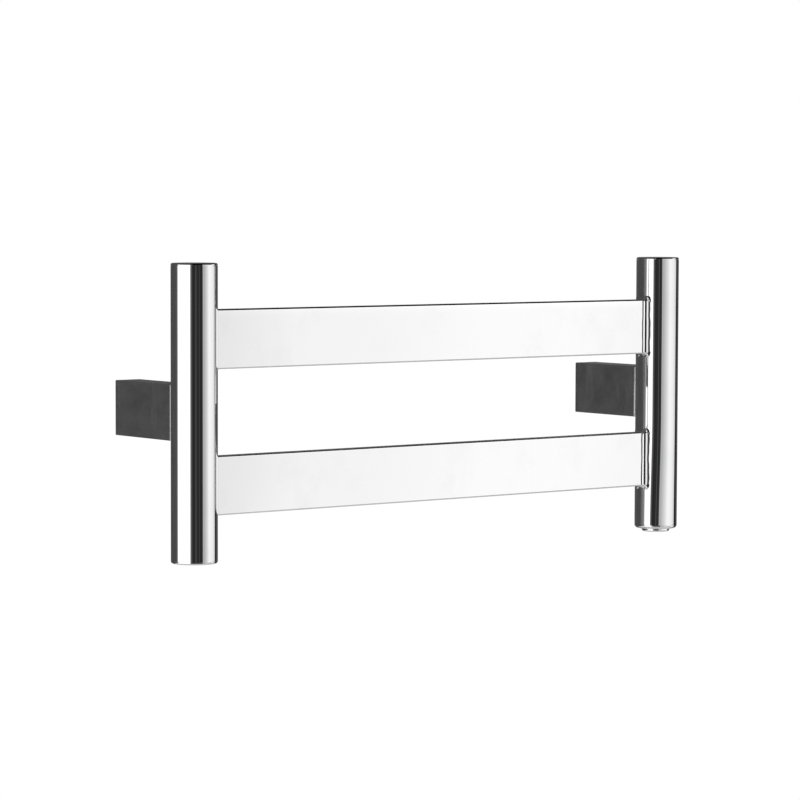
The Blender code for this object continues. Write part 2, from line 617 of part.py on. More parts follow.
def switch_button():
    """The button with its retaining flange and its stem. Its origin is on its axis at the bezel's face."""
    bottom, edge = BUTTON_FACE - BEZEL_BOTTOM, BUTTON_EDGE
    flange_bottom, flange_top = FLANGE_BOTTOM - BEZEL_BOTTOM, FLANGE_TOP - BEZEL_BOTTOM
    profile = [(0, bottom)] + arc(BUTTON_RADIUS - edge, bottom + edge, edge, -90, 0)
    profile += [(BUTTON_RADIUS, flange_bottom), (FLANGE_RADIUS, flange_bottom), (FLANGE_RADIUS, flange_top)]
    stem_top = STEM_TOP - BEZEL_BOTTOM
    profile += [(STEM_RADIUS, flange_top), (STEM_RADIUS, stem_top), (0, stem_top)]
    object_of("switch_button", turned(profile), POLISHED, SWITCH_AXIS, (0, 0, BEZEL_BOTTOM))


def contact_bridge():
    """The brass strip on the stem's top that joins the two blades when the button is pressed."""
    strip = prism(rectangle(2 * TAIL_X + TAIL_WIDTH / 2, TAIL_WIDTH), 0, CONTACT_THICKNESS)
    object_of("contact_bridge", strip, BRASS, SWITCH_AXIS, (0, 0, STEM_TOP + GAP))


def switch_spring():
    """A coil around the stem, between the button's flange and the housing."""
    wire_radius, turns, per_turn = 0.00035, 4, 12
    radius = STEM_RADIUS + 0.0025
    bottom = FLANGE_TOP + GAP + wire_radius
    top = BODY_BOTTOM - GAP - wire_radius
    count = turns * per_turn
    curve = bpy.data.curves.new("switch_spring", "CURVE")
    curve.dimensions = "3D"
    curve.bevel_depth = wire_radius
    curve.bevel_resolution = 1
    curve.use_fill_caps = True
    spline = curve.splines.new("POLY")
    spline.points.add(count)
    for step, slot in enumerate(spline.points):
        angle = 2 * math.pi * step / per_turn
        height = bottom + (top - bottom) * step / count
        slot.co = (radius * math.cos(angle), radius * math.sin(angle), height, 1.0)
    object_of("switch_spring", curve, STEEL, SWITCH_AXIS)


bottom_ring()
switch_seal()
switch_bezel()
switch_body()
switch_tail("live_switch_tail", -1)
switch_tail("switched_switch_tail", 1)
switch_button()
contact_bridge()
switch_spring()


# Heating cable, cutout, splices and leads

U, Y = HALF_SPACING, UPRIGHT_Y
BAR_FLOOR = BAR_HEIGHT / 2 - BAR_WALL - CABLE_DIAMETER / 2 - 0.0006
UPPER_REST = BAR_Z - BAR_FLOOR
LOWER_REST = -BAR_Z - BAR_FLOOR
SPLICE_RADIUS = 0.0028
SPLICE_LENGTH = 0.014
LIVE_SPLICE = (U + 0.006, Y + 0.004, -0.006)
NEUTRAL_SPLICE = (U - 0.003, Y - 0.008, -0.024)
CUTOUT = (U + 0.008, Y - 0.003, -0.030)
CUTOUT_LENGTH = 0.016


def splice(name, top):
    """A crimped joint along Z below its top point, with chamfered ends."""
    chamfer = SPLICE_RADIUS * 0.35
    profile = [(0, -SPLICE_LENGTH), (SPLICE_RADIUS - chamfer, -SPLICE_LENGTH)]
    profile += [(SPLICE_RADIUS, chamfer - SPLICE_LENGTH), (SPLICE_RADIUS, -chamfer)]
    profile += [(SPLICE_RADIUS - chamfer, 0), (0, 0)]
    object_of(name, turned(profile, 16), WHITE_PLASTIC, None, top)


def thermal_cutout():
    outline = rounded_rectangle(0.007, 0.005, 0.0012, 2)
    object_of("thermal_cutout", prism(outline, -CUTOUT_LENGTH, 0), STEEL, None, CUTOUT)


def raised(place, height, out=0.0, back=0.0):
    """A place moved up, outwards and towards the wall."""
    return (place[0] + out, place[1] + back, place[2] + height)


splice("live_splice", LIVE_SPLICE)
splice("neutral_splice", NEUTRAL_SPLICE)
thermal_cutout()

heating_route = [
    raised(LIVE_SPLICE, GAP),
    (U + 0.006, Y + 0.002, 0.016),
    (U + 0.004, Y, 0.034),
    (U - 0.003, Y, BAR_Z - 0.013),
    (U - 0.015, Y, BAR_Z - 0.003),
    (U - 0.032, Y, BAR_Z - 0.004),
    (U - 0.052, Y, UPPER_REST + 0.007),
    (U - 0.072, Y, UPPER_REST + 0.001),
    (U - 0.092, Y, UPPER_REST),
    (U - 0.115, Y, UPPER_REST),
    (-U + 0.115, Y, UPPER_REST),
    (-U + 0.092, Y, UPPER_REST),
    (-U + 0.072, Y, UPPER_REST + 0.001),
    (-U + 0.052, Y, UPPER_REST + 0.007),
    (-U + 0.032, Y, BAR_Z - 0.004),
    (-U + 0.015, Y, BAR_Z - 0.003),
    (-U + 0.003, Y, BAR_Z - 0.013),
    (-U - 0.003, Y, 0.030),
    (-U - 0.004, Y, 0),
    (-U - 0.003, Y, -0.030),
    (-U + 0.003, Y, -BAR_Z + 0.012),
    (-U + 0.015, Y, -BAR_Z + 0.001),
    (-U + 0.032, Y, -BAR_Z - 0.004),
    (-U + 0.052, Y, LOWER_REST + 0.007),
    (-U + 0.072, Y, LOWER_REST + 0.001),
    (-U + 0.092, Y, LOWER_REST),
    (-U + 0.115, Y, LOWER_REST),
    (U - 0.115, Y, LOWER_REST),
    (U - 0.092, Y, LOWER_REST),
    (U - 0.072, Y, LOWER_REST + 0.001),
    (U - 0.052, Y, LOWER_REST + 0.007),
    (U - 0.032, Y, -BAR_Z - 0.005),
    (U - 0.016, Y - 0.001, -BAR_Z + 0.001),
    (U - 0.006, Y - 0.005, -BAR_Z + 0.011),
    raised(NEUTRAL_SPLICE, -SPLICE_LENGTH - 0.004),
    raised(NEUTRAL_SPLICE, -SPLICE_LENGTH - GAP),
]
wire("heating_cable", heating_route, CABLE_DIAMETER, RED_SILICONE)

cutout_link_route = [
    raised(CUTOUT, GAP),
    raised(CUTOUT, 0.003),
    raised(LIVE_SPLICE, -SPLICE_LENGTH - 0.003),
    raised(LIVE_SPLICE, -SPLICE_LENGTH - GAP),
]
wire("cutout_link_lead", cutout_link_route, LEAD_DIAMETER, BROWN_SILICONE)

TAIL_END = TAIL_TOP + GAP
switched_route = [
    (U + TAIL_X, Y, TAIL_END),
    (U + TAIL_X, Y, TAIL_END + 0.006),
    (U + 0.007, Y - 0.002, TAIL_END + 0.018),
    raised(CUTOUT, -CUTOUT_LENGTH - 0.010),
    raised(CUTOUT, -CUTOUT_LENGTH - GAP),
]
wire("switched_lead", switched_route, LEAD_DIAMETER, BROWN_SILICONE)

LEAD_OFFSET = 0.0016
BEND_Y = PLATE_REAR + 0.0042
GROMMET_EXIT = PLATE_REAR + 0.0019
RACK_ENTRY = WELL_LEVELS["rack"] + 0.001
line_route = [
    (U - TAIL_X, Y, TAIL_END),
    (U - TAIL_X, Y + 0.001, TAIL_END + 0.006),
    (U - 0.003, Y + 0.008, TAIL_END + 0.020),
    (U - 0.002, Y + 0.009, -0.045),
    (U - LEAD_OFFSET, Y + 0.009, GROMMET_Z - 0.012),
    (U - LEAD_OFFSET, Y + 0.0125, GROMMET_Z - 0.003),
    (U - LEAD_OFFSET, GROMMET_START, GROMMET_Z),
    (U - LEAD_OFFSET, GROMMET_EXIT, GROMMET_Z),
    (U - 0.0034, BEND_Y, GROMMET_Z + 0.0016),
    (U - POLE_PITCH, TUNNEL_Y - 0.0008, TERMINAL_BOTTOM - 0.003),
    (U - POLE_PITCH, TUNNEL_Y, TERMINAL_BOTTOM),
    (U - POLE_PITCH, TUNNEL_Y, RACK_ENTRY),
]
wire("line_lead", line_route, LEAD_DIAMETER, BROWN_SILICONE)

neutral_route = [
    raised(NEUTRAL_SPLICE, GAP),
    raised(NEUTRAL_SPLICE, 0.005),
    (U + LEAD_OFFSET, Y + 0.002, GROMMET_Z + 0.003),
    (U + LEAD_OFFSET, Y + 0.010, GROMMET_Z),
    (U + LEAD_OFFSET, GROMMET_START, GROMMET_Z),
    (U + LEAD_OFFSET, GROMMET_EXIT, GROMMET_Z),
    (U + 0.0034, BEND_Y, GROMMET_Z + 0.0016),
    (U + POLE_PITCH, TUNNEL_Y - 0.0008, TERMINAL_BOTTOM - 0.003),
    (U + POLE_PITCH, TUNNEL_Y, TERMINAL_BOTTOM),
    (U + POLE_PITCH, TUNNEL_Y, RACK_ENTRY),
]
wire("neutral_lead", neutral_route, LEAD_DIAMETER, BLUE_SILICONE)

EARTH_START = PLATE_REAR + GAP + EARTH_SLEEVE_LENGTH + GAP
earth_route = [
    (U + EARTH_SLEEVE_X, EARTH_START, SCREW_Z),
    (U + EARTH_SLEEVE_X - 0.0006, EARTH_START + 0.006, SCREW_Z + 0.001),
    (U + 0.003, EARTH_START + 0.008, SCREW_Z + 0.0025),
    (U, EARTH_START + 0.003, SCREW_Z + 0.001),
    (U, TUNNEL_Y, TERMINAL_TOP + 0.001),
    (U, TUNNEL_Y, WELL_LEVELS["supply"] - 0.001),
]
wire("earth_lead", earth_route, LEAD_DIAMETER, EARTH_SILICONE)
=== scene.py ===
# %% [markdown]
# # A polished towel warmer rack, piece by piece
#
# The object is a small electric towel rack in mirror-polished stainless steel: two round uprights, two flat
# bars welded between them, and two box brackets that carry it on the wall. A push-button switch closes the
# foot of the right upright. A mirror has no colour of its own, so most of this lesson is about two things:
# surfaces that are smooth enough to reflect well, and a studio worth reflecting.
#
# The engineering model is loaded first. It gives every size and place below, and nothing in it is moved.

# %% Load the frame
import math

import bmesh
import bpy
from mathutils import Matrix, Quaternion, Vector


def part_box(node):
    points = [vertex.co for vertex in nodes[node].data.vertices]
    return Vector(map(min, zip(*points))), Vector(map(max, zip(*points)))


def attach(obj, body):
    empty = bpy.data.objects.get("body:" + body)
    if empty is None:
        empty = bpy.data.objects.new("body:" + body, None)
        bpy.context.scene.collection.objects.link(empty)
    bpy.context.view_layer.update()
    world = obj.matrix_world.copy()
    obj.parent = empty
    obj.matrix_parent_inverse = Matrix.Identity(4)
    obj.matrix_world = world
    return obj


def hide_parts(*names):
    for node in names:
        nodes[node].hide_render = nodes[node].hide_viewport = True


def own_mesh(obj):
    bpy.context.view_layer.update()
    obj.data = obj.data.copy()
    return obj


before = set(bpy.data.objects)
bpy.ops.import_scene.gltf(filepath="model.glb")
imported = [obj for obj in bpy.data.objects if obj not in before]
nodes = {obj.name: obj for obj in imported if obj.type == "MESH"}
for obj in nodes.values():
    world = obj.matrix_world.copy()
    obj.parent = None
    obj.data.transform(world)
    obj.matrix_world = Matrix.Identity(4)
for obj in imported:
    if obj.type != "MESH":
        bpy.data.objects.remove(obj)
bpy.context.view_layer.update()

# %% [markdown]
# ## Measuring the frame
#
# A tube's box is as wide as its diameter, so its axis and radius follow from two corners. Keeping these in
# small records means that no size is typed twice.


# %% Read sizes from the nodes
def middle(node):
    low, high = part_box(node)
    return (low + high) / 2


def size_of(node):
    low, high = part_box(node)
    return high - low


MM = 0.001
SIDES = {"left": -1, "right": 1}
AXIS = {side: middle(f"{side}_upright_tube") for side in SIDES}
TUBE_RADIUS = size_of("left_upright_tube").x / 2
TUBE_WALL = 1.2 * MM
CLEARANCE = 0.3 * MM
BAR_SIZE = size_of("upper_flat_bar")
BARS = {"upper": middle("upper_flat_bar"), "lower": middle("lower_flat_bar")}
BAR_PLANE = BARS["upper"].y
print("tube radius", round(TUBE_RADIUS / MM, 2), "mm, bar", [round(s / MM, 1) for s in BAR_SIZE], "mm")

# %% [markdown]
# ## Camera
#
# The rack is seen from its left, a little above, with a long lens that keeps the flat bars almost parallel.
# The direction is built from a turn, a dip and a very slight roll, which is easier to reason about than three
# Euler angles.

# %% Place the camera
CAMERA_PLACE = Vector((-1.837, -2.395, 0.185))
CAMERA_TURN = math.radians(38.03)
CAMERA_DIP = math.radians(3.57)
CAMERA_ROLL = math.radians(0.183)
LENS = 147.56

camera_data = bpy.data.cameras.new("camera")
camera_data.lens = LENS
camera_data.sensor_width = 36
camera_data.clip_end = 100
camera = bpy.data.objects.new("camera", camera_data)
ahead = Vector((math.sin(CAMERA_TURN), math.cos(CAMERA_TURN), -math.tan(CAMERA_DIP))).normalized()
camera.rotation_mode = "QUATERNION"
camera.rotation_quaternion = ahead.to_track_quat("-Z", "Y") @ Quaternion((0, 0, 1), CAMERA_ROLL)
camera.location = CAMERA_PLACE
bpy.context.scene.collection.objects.link(camera)
bpy.context.scene.camera = camera
print("camera", round((CAMERA_PLACE - Vector((0, BAR_PLANE, 0))).length, 2), "m from the rack")

# %% [markdown]
# ## Building shader trees
#
# A material is a graph, and a graph reads best when each node is one short line. `Tree` keeps the calls
# short: it adds a node, sets what is constant and links what is not.


# %% A small helper for node trees
class Tree:
    """Adds nodes to a node tree. An input given as a socket is linked, and any other value is set."""

    def __init__(self, tree):
        self.tree = tree

    def add(self, kind, inputs=None, **settings):
        node = self.tree.nodes.new(kind)
        for name, value in settings.items():
            setattr(node, name, value)
        for name, value in (inputs or {}).items():
            self.feed(node.inputs[name], value)
        return node

    def feed(self, socket, value):
        if isinstance(value, bpy.types.NodeSocket):
            self.tree.links.new(value, socket)
        else:
            socket.default_value = value

    def math(self, operation, first, second=0.0):
        node = self.tree.nodes.new("ShaderNodeMath")
        node.operation = operation
        for socket, value in zip(node.inputs, (first, second)):
            self.feed(socket, value)
        return node.outputs[0]

    def remap(self, value, low, high, to_low=0.0, to_high=1.0, smooth=False):
        node = self.tree.nodes.new("ShaderNodeMapRange")
        node.interpolation_type = "SMOOTHSTEP" if smooth else "LINEAR"
        for name, item in (("Value", value), ("From Min", low), ("From Max", high)):
            self.feed(node.inputs[name], item)
        self.feed(node.inputs["To Min"], to_low)
        self.feed(node.inputs["To Max"], to_high)
        return node.outputs["Result"]

    def ramp(self, value, stops):
        """A colour ramp from (place, grey) stops."""
        node = self.tree.nodes.new("ShaderNodeValToRGB")
        ramp = node.color_ramp
        while len(ramp.elements) < len(stops):
            ramp.elements.new(0.5)
        for element, (place, grey) in zip(ramp.elements, stops):
            element.position = place
            element.color = (grey, grey, grey, 1)
        self.feed(node.inputs["Fac"], value)
        return node.outputs["Color"]

    def mix(self, factor, first, second, blend="MIX"):
        node = self.tree.nodes.new("ShaderNodeMix")
        node.data_type = "RGBA"
        node.blend_type = blend
        self.feed(node.inputs[0], factor)
        self.feed(node.inputs[6], first)
        self.feed(node.inputs[7], second)
        return node.outputs[2]


def linked(name, data):
    """A new object in the scene."""
    piece = bpy.data.objects.new(name, data)
    bpy.context.scene.collection.objects.link(piece)
    return piece


print("helpers for trees and objects ready")

# %% [markdown]
# ## The studio
#
# A chrome tube shows its whole room, squeezed into one strip: the left edge shows what is behind it, the
# middle shows the camera, and the right edge comes round to the back again. So the room is laid out piece by
# piece: a bright side on the left, a dark zone behind the camera, a large sheet on the right whose light
# grows with distance, and a dark satin board on the wall behind the rack. The ceiling is dark and draws the
# thin dark line along every top edge.
#
# The sheets and the board are only there for reflections. They are switched off for the camera and for
# soft light, the way a flag is kept out of the picture.

# %% The room's far walls, as the world's light
BACKDROP = 1.0
CLEAR = 1.28
WALL_GREYS = ((-180, 1.0), (-53, 1.0), (-50, 0.02), (150, 0.02), (180, 1.0))


def far_wall(degrees):
    """Where a heading sits on the ramp. 0 is out from the rack's front and 90 is to its right."""
    return (degrees + 180) / 360


world = bpy.data.worlds.new("studio")
bpy.context.scene.world = world
world.use_nodes = True
world.node_tree.nodes.clear()
room = Tree(world.node_tree)
direction = room.add("ShaderNodeTexCoord").outputs["Generated"]
parts = room.add("ShaderNodeSeparateXYZ", {"Vector": direction})
away = room.math("MULTIPLY", parts.outputs["Y"], -1.0)
heading = room.math("ARCTAN2", parts.outputs["X"], away)
turned_heading = room.remap(heading, -math.pi, math.pi)
walls = room.ramp(turned_heading, [(far_wall(degrees), grey) for degrees, grey in WALL_GREYS])
height = parts.outputs["Z"]
ceiling = room.remap(height, 0.26, 0.40, 1.0, 0.05, smooth=True)
under_ceiling = room.mix(1.0, walls, ceiling, "MULTIPLY")
below = room.remap(height, -0.55, -0.38, 1.0, 0.0, smooth=True)
lit = room.mix(below, under_ceiling, (0.42, 0.42, 0.42, 1))
studio_light = room.add("ShaderNodeBackground", {"Color": lit, "Strength": CLEAR})
plain = room.add("ShaderNodeBackground", {"Color": (1, 1, 1, 1), "Strength": BACKDROP})
seen = room.add("ShaderNodeLightPath").outputs["Is Camera Ray"]
both = room.add("ShaderNodeMixShader", {0: seen, 1: studio_light.outputs[0], 2: plain.outputs[0]})
room.add("ShaderNodeOutputWorld", {"Surface": both.outputs[0]})
bpy.context.scene.view_settings.view_transform = "Standard"
print("world with", len(world.node_tree.nodes), "nodes")


# %% Floor, board and light sheets
def stage_sheet(name, corners, material):
    """A flat stage piece from four corners, seen by mirrors only."""
    mesh = bpy.data.meshes.new(name)
    mesh.from_pydata([Vector(corner) for corner in corners], [], [(0, 1, 2, 3)])
    mesh.uv_layers.new(name="along")
    for loop, place in zip(mesh.uv_layers["along"].data, ((0, 0), (1, 0), (1, 1), (0, 1))):
        loop.uv = place
    mesh.materials.append(material)
    piece = linked(name, mesh)
    return piece


def for_mirrors_only(piece):
    piece.visible_camera = False
    piece.visible_diffuse = False
    piece.visible_shadow = False
    piece.visible_transmission = False


def new_material(name):
    material = bpy.data.materials.new(name)
    material.use_nodes = True
    material.node_tree.nodes.clear()
    return material, Tree(material.node_tree)


FLOOR_Z = -0.60
FLOOR_REACH = 12.0
floor_paint, tree = new_material("pale_floor")
floor_light = tree.add("ShaderNodeEmission", {"Color": (1, 1, 1, 1), "Strength": 1.02})
clear = tree.add("ShaderNodeBsdfTransparent")
from_below = tree.add("ShaderNodeNewGeometry").outputs["Backfacing"]
one_way = tree.add("ShaderNodeMixShader", {0: from_below, 1: floor_light.outputs[0], 2: clear.outputs[0]})
tree.add("ShaderNodeOutputMaterial", {"Surface": one_way.outputs[0]})
floor_corners = [(x * FLOOR_REACH, y * FLOOR_REACH, FLOOR_Z) for x, y in ((-1, -1), (1, -1), (1, 1), (-1, 1))]
floor_sheet = stage_sheet("pale_floor_sheet", floor_corners, floor_paint)
floor_sheet.visible_glossy = False

# The satin board behind the rack. It glows a little, and it mirrors the room at a flat angle.
board_paint, tree = new_material("satin_board")
place = tree.add("ShaderNodeTexCoord").outputs["Object"]
mottle = tree.add("ShaderNodeTexNoise", {"Vector": place, "Scale": 40.0, "Detail": 5.0, "Roughness": 0.7})
glow = tree.remap(mottle.outputs["Fac"], 0.3, 0.7, 0.03, 0.06)
across = tree.add("ShaderNodeSeparateXYZ", {"Vector": place}).outputs["X"]
near_end = tree.remap(across, -0.58, -0.50, 0.11, 0.0, smooth=True)
board = tree.add(
    "ShaderNodeBsdfPrincipled",
    {"Base Color": (0.03, 0.03, 0.03, 1), "Roughness": 0.18, "IOR": 1.5},
)
tree.feed(board.inputs["Emission Color"], (1, 1, 1, 1))
tree.feed(board.inputs["Emission Strength"], tree.math("ADD", glow, near_end))
tree.add("ShaderNodeOutputMaterial", {"Surface": board.outputs[0]})


SHEET_LIFT = {"low": 0.10, "high": 0.35, "to_low": 1.08, "to_high": 1.5}


def standing_sheet(name, line, low, high, glow_stops):
    """A sheet that stands on a line of floor points. Its glow follows the stops along the line."""
    mesh = bpy.data.meshes.new(name)
    foot = [Vector((*spot, low)) for spot in line]
    head = [Vector((*spot, high)) for spot in line]
    count = len(line)
    strips = [(i, i + 1, count + i + 1, count + i) for i in range(count - 1)]
    mesh.from_pydata(foot + head, [], strips)
    runs = [0.0]
    for first, second in zip(foot, foot[1:]):
        runs.append(runs[-1] + (second - first).length)
    layer = mesh.uv_layers.new(name="along")
    for loop in mesh.loops:
        column = loop.vertex_index % count
        layer.data[loop.index].uv = (runs[column] / runs[-1], loop.vertex_index // count)
    paint, tree = new_material(name + "_paint")
    run = tree.add("ShaderNodeUVMap", uv_map="along").outputs["UV"]
    along = tree.add("ShaderNodeSeparateXYZ", {"Vector": run}).outputs["X"]
    up = tree.add("ShaderNodeSeparateXYZ", {"Vector": tree.add("ShaderNodeTexCoord").outputs["Object"]})
    lift = tree.remap(up.outputs["Z"], **SHEET_LIFT, smooth=True)
    light = tree.add("ShaderNodeEmission", {"Color": tree.ramp(along, glow_stops), "Strength": lift})
    tree.add("ShaderNodeOutputMaterial", {"Surface": light.outputs[0]})
    mesh.materials.append(paint)
    piece = linked(name, mesh)
    for_mirrors_only(piece)


BOARD_Y = 0.081
BOARD_LEFT, BOARD_RIGHT = -0.58, 3.0
BOARD_LOW, BOARD_HIGH = -0.25, 0.50
board_corners = (
    (BOARD_LEFT, BOARD_Y, BOARD_LOW),
    (BOARD_RIGHT, BOARD_Y, BOARD_LOW),
    (BOARD_RIGHT, BOARD_Y, BOARD_HIGH),
    (BOARD_LEFT, BOARD_Y, BOARD_HIGH),
)
for_mirrors_only(stage_sheet("satin_board_sheet", board_corners, board_paint))

# The bright sheet in front of the rack. It starts dim, brightens to the right and curves back to the wall.
sheet_line = ((-0.108, -1.34), (2.10, -2.05), (1.50, -0.94), (1.28, -0.60), (0.91, -0.30), (0.75, -0.22))
sheet_glow = [(0.0, 0.42), (0.04, 0.41), (0.073, 0.49), (0.113, 0.58), (0.20, 0.74), (0.225, 0.79)]
sheet_glow += [(0.25, 0.86), (0.30, 0.875), (0.36, 0.925), (0.42, 0.93), (0.46, 0.90), (0.50, 0.89)]
sheet_glow += [(0.765, 0.86), (0.855, 0.77), (0.96, 0.67), (1.0, 0.65)]
standing_sheet("light_sheet", sheet_line, -0.9, 0.75, sheet_glow)
# A dark flag on the viewer's left, and two faint strips behind the camera.
flag_line = ((-1.226, -0.805), (-1.55, -1.90))
standing_sheet("dark_flag", flag_line, -0.9, 0.6, [(0.0, 0.16), (0.22, 0.10), (0.42, 0.025), (1.0, 0.017)])
strip_line = ((-2.28, -3.72), (-1.92, -3.86))
standing_sheet("far_strip", strip_line, -1.2, 0.9, [(0.0, 0.02), (0.35, 0.085), (0.65, 0.085), (1.0, 0.02)])
strip_line = ((-0.80, -2.62), (-0.58, -2.62))
standing_sheet("near_strip", strip_line, -1.2, 0.9, [(0.0, 0.02), (0.4, 0.055), (0.6, 0.055), (1.0, 0.02)])

soft = bpy.data.lights.new("soft_overhead", "AREA")
soft.energy = 30
soft.shape = "RECTANGLE"
soft.size = 2.0
soft.size_y = 2.0
soft_light = linked("soft_overhead", soft)
soft_light.location = (-0.6, -1.2, 2.0)
soft_light.rotation_euler = Vector((0.6, 1.2, -2.0)).to_track_quat("-Z", "Y").to_euler()
soft_light.visible_glossy = False

# %% [markdown]
# ## Polished steel
#
# Mirror polish still has a history. Buffing leaves hair-fine scratches, handling leaves faint smudges that
# only dull the reflection, and the sheet under the polish is never quite flat. One shader group makes the
# three of them from noise on Object coordinates and puts out a roughness and a height, so that every metal on
# the rack can share it with its own values.


# %% The polish group
def group_of(name, inputs, outputs):
    """An empty shader node group with float or colour sockets."""
    group = bpy.data.node_groups.new(name, "ShaderNodeTree")
    for label, kind, value in inputs:
        socket = group.interface.new_socket(label, in_out="INPUT", socket_type=kind)
        socket.default_value = value
    for label, kind in outputs:
        group.interface.new_socket(label, in_out="OUTPUT", socket_type=kind)
    tree = Tree(group)
    return group, tree, tree.add("NodeGroupInput"), tree.add("NodeGroupOutput")


FLOAT, COLOUR = "NodeSocketFloat", "NodeSocketColor"
polish, tree, given, made = group_of(
    "polish_wear_and_top_sheen",
    [
        ("Metal", COLOUR, (0.9, 0.9, 0.9, 1)),
        ("Roughness", FLOAT, 0.03),
        ("Smudge", FLOAT, 0.04),
        ("Hairlines", FLOAT, 0.3),
        ("Waviness", FLOAT, 0.3),
        ("Dust_and_top_sheen", FLOAT, 0.12),
    ],
    [("Color", COLOUR), ("Roughness", FLOAT), ("Height", FLOAT), ("Metallic", FLOAT)],
)
place = tree.add("ShaderNodeTexCoord").outputs["Object"]
wiped = {"Vector": place, "Rotation": (0.9, 0.2, 0.0), "Scale": (1.0, 3.2, 0.7)}
smeared = tree.add("ShaderNodeMapping", wiped).outputs[0]
clouds = tree.add("ShaderNodeTexNoise", {"Vector": smeared, "Scale": 26.0, "Detail": 5.0, "Roughness": 0.6})
patches = tree.remap(clouds.outputs["Fac"], 0.48, 0.72, smooth=True)
stretched = tree.add("ShaderNodeMapping", {"Vector": place, "Scale": (260.0, 260.0, 9.0)})
fine = tree.add("ShaderNodeTexNoise", {"Vector": stretched.outputs[0], "Scale": 6.0, "Detail": 3.0})
hairs = tree.remap(fine.outputs["Fac"], 0.62, 0.70, smooth=True)
dulled = tree.math("MULTIPLY", patches, given.outputs["Smudge"])
scratched = tree.math("MULTIPLY", tree.math("MULTIPLY", hairs, given.outputs["Hairlines"]), 0.06)
rough = tree.math("ADD", tree.math("ADD", given.outputs["Roughness"], dulled), scratched)
swell = tree.add("ShaderNodeTexNoise", {"Vector": place, "Scale": 14.0, "Detail": 1.0})
wavy = tree.math("MULTIPLY", swell.outputs["Fac"], given.outputs["Waviness"])
dark = tree.mix(tree.math("MULTIPLY", patches, 0.04), given.outputs["Metal"], (0.2, 0.2, 0.21, 1))
# Upward faces turn pale, speckled and less metallic. This is partly real dust and partly painted sheen: the
# light a top face catches at a grazing angle, painted into its colour.
facing_up = tree.add("ShaderNodeSeparateXYZ", {"Vector": tree.add("ShaderNodeNewGeometry").outputs["Normal"]})
facing_up_dust_and_sheen = tree.remap(facing_up.outputs["Z"], 0.90, 1.0, smooth=True)
specks = tree.add("ShaderNodeTexNoise", {"Vector": place, "Scale": 420.0, "Detail": 3.0})
speck_share = tree.remap(specks.outputs["Fac"], 0.35, 0.65, 0.5, 1.0)
dust_and_top_sheen = tree.math("MULTIPLY", tree.math("MULTIPLY", facing_up_dust_and_sheen, speck_share), given.outputs["Dust_and_top_sheen"])
tree.feed(made.inputs["Color"], tree.mix(dust_and_top_sheen, dark, (0.75, 0.74, 0.72, 1)))
tree.feed(made.inputs["Roughness"], tree.math("ADD", rough, tree.math("MULTIPLY", dust_and_top_sheen, 0.5)))
tree.feed(made.inputs["Height"], wavy)
tree.feed(made.inputs["Metallic"], tree.math("SUBTRACT", 1.0, dust_and_top_sheen))


def worn_shader(tree, wear, bump, **settings):
    """A Principled shader with the group's colour and roughness, and its height as a bump."""
    relief = tree.add("ShaderNodeBump", {**bump, "Height": wear.outputs["Height"]})
    shader = tree.add("ShaderNodeBsdfPrincipled", {**settings, "Normal": relief.outputs["Normal"]})
    tree.feed(shader.inputs["Base Color"], wear.outputs["Color"])
    tree.feed(shader.inputs["Roughness"], wear.outputs["Roughness"])
    tree.add("ShaderNodeOutputMaterial", {"Surface": shader.outputs[0]})


def slow_twist(tree):
    """A normal that drifts a few degrees towards the foot of the right upright, as drawn tube often does."""
    place = tree.add("ShaderNodeSeparateXYZ", {"Vector": tree.add("ShaderNodeTexCoord").outputs["Object"]})
    across = tree.math("MULTIPLY", tree.math("SUBTRACT", place.outputs["X"], AXIS["right"].x), -0.064)
    forward = tree.math("MULTIPLY", tree.math("SUBTRACT", place.outputs["Y"], AXIS["right"].y), 0.059)
    amount = tree.remap(place.outputs["Z"], -0.135, -0.02, 0.9, 0.0, smooth=True)
    height = tree.math("MULTIPLY", tree.math("ADD", across, forward), amount)
    return tree.add("ShaderNodeBump", {"Strength": 1.0, "Distance": 1.0, "Height": height}).outputs["Normal"]


MIRROR = (0.93, 0.93, 0.935)


def polished(name, metal=MIRROR, roughness=0.02, smudge=0.03, dust_and_top_sheen=0.05, waviness=0.25, base=None):
    """Mirror-polished metal with its own amount of each wear, and of dust that also paints a pale sheen on
    upward faces. base may give a normal to start from.
    """
    material, tree = new_material(name)
    wear = tree.add("ShaderNodeGroup", node_tree=polish)
    values = {"Metal": (*metal, 1), "Roughness": roughness, "Smudge": smudge}
    values.update({"Dust_and_top_sheen": dust_and_top_sheen, "Waviness": waviness})
    for label, value in values.items():
        tree.feed(wear.inputs[label], value)
    bump = {"Strength": 0.12, "Distance": 0.0004}
    if base:
        bump["Normal"] = base(tree)
    worn_shader(tree, wear, bump, Metallic=wear.outputs["Metallic"])
    return material


TUBE_FINISH = polished("polished_tube")
RIGHT_TUBE_FINISH = polished("polished_right_tube", base=slow_twist)
BAR_FINISH = polished("polished_bar", metal=(0.965, 0.965, 0.965), roughness=0.03)
# The brackets' tops get more of the dust and painted sheen than the other finishes.
BOX_FINISH = polished("polished_box", roughness=0.03, smudge=0.18, dust_and_top_sheen=0.14, waviness=0.5)
WELD_FINISH = polished("polished_weld", roughness=0.03, waviness=0.6)
SWITCH_FINISH = polished("polished_switch", roughness=0.04)
print("six polished finishes")

# %% [markdown]
# ## Mesh helpers
#
# Reflections show every flaw in a surface. A turned piece is spun from its profile in 160 steps, and each
# curved stretch of a profile is a true arc. Flat faces that meet a rounded edge keep a narrow strip beside
# it, because smooth shading would otherwise bend the reflection across the whole face.


# %% Build turned and swept solids
TURN_STEPS = 160
SMOOTH_BELOW = 40


def arc(centre, radius, start, end, steps):
    """Points on a circle about a centre, from one angle in degrees to another."""
    angles = [math.radians(start + (end - start) * step / steps) for step in range(steps + 1)]
    return [(centre[0] + radius * math.cos(a), centre[1] + radius * math.sin(a)) for a in angles]


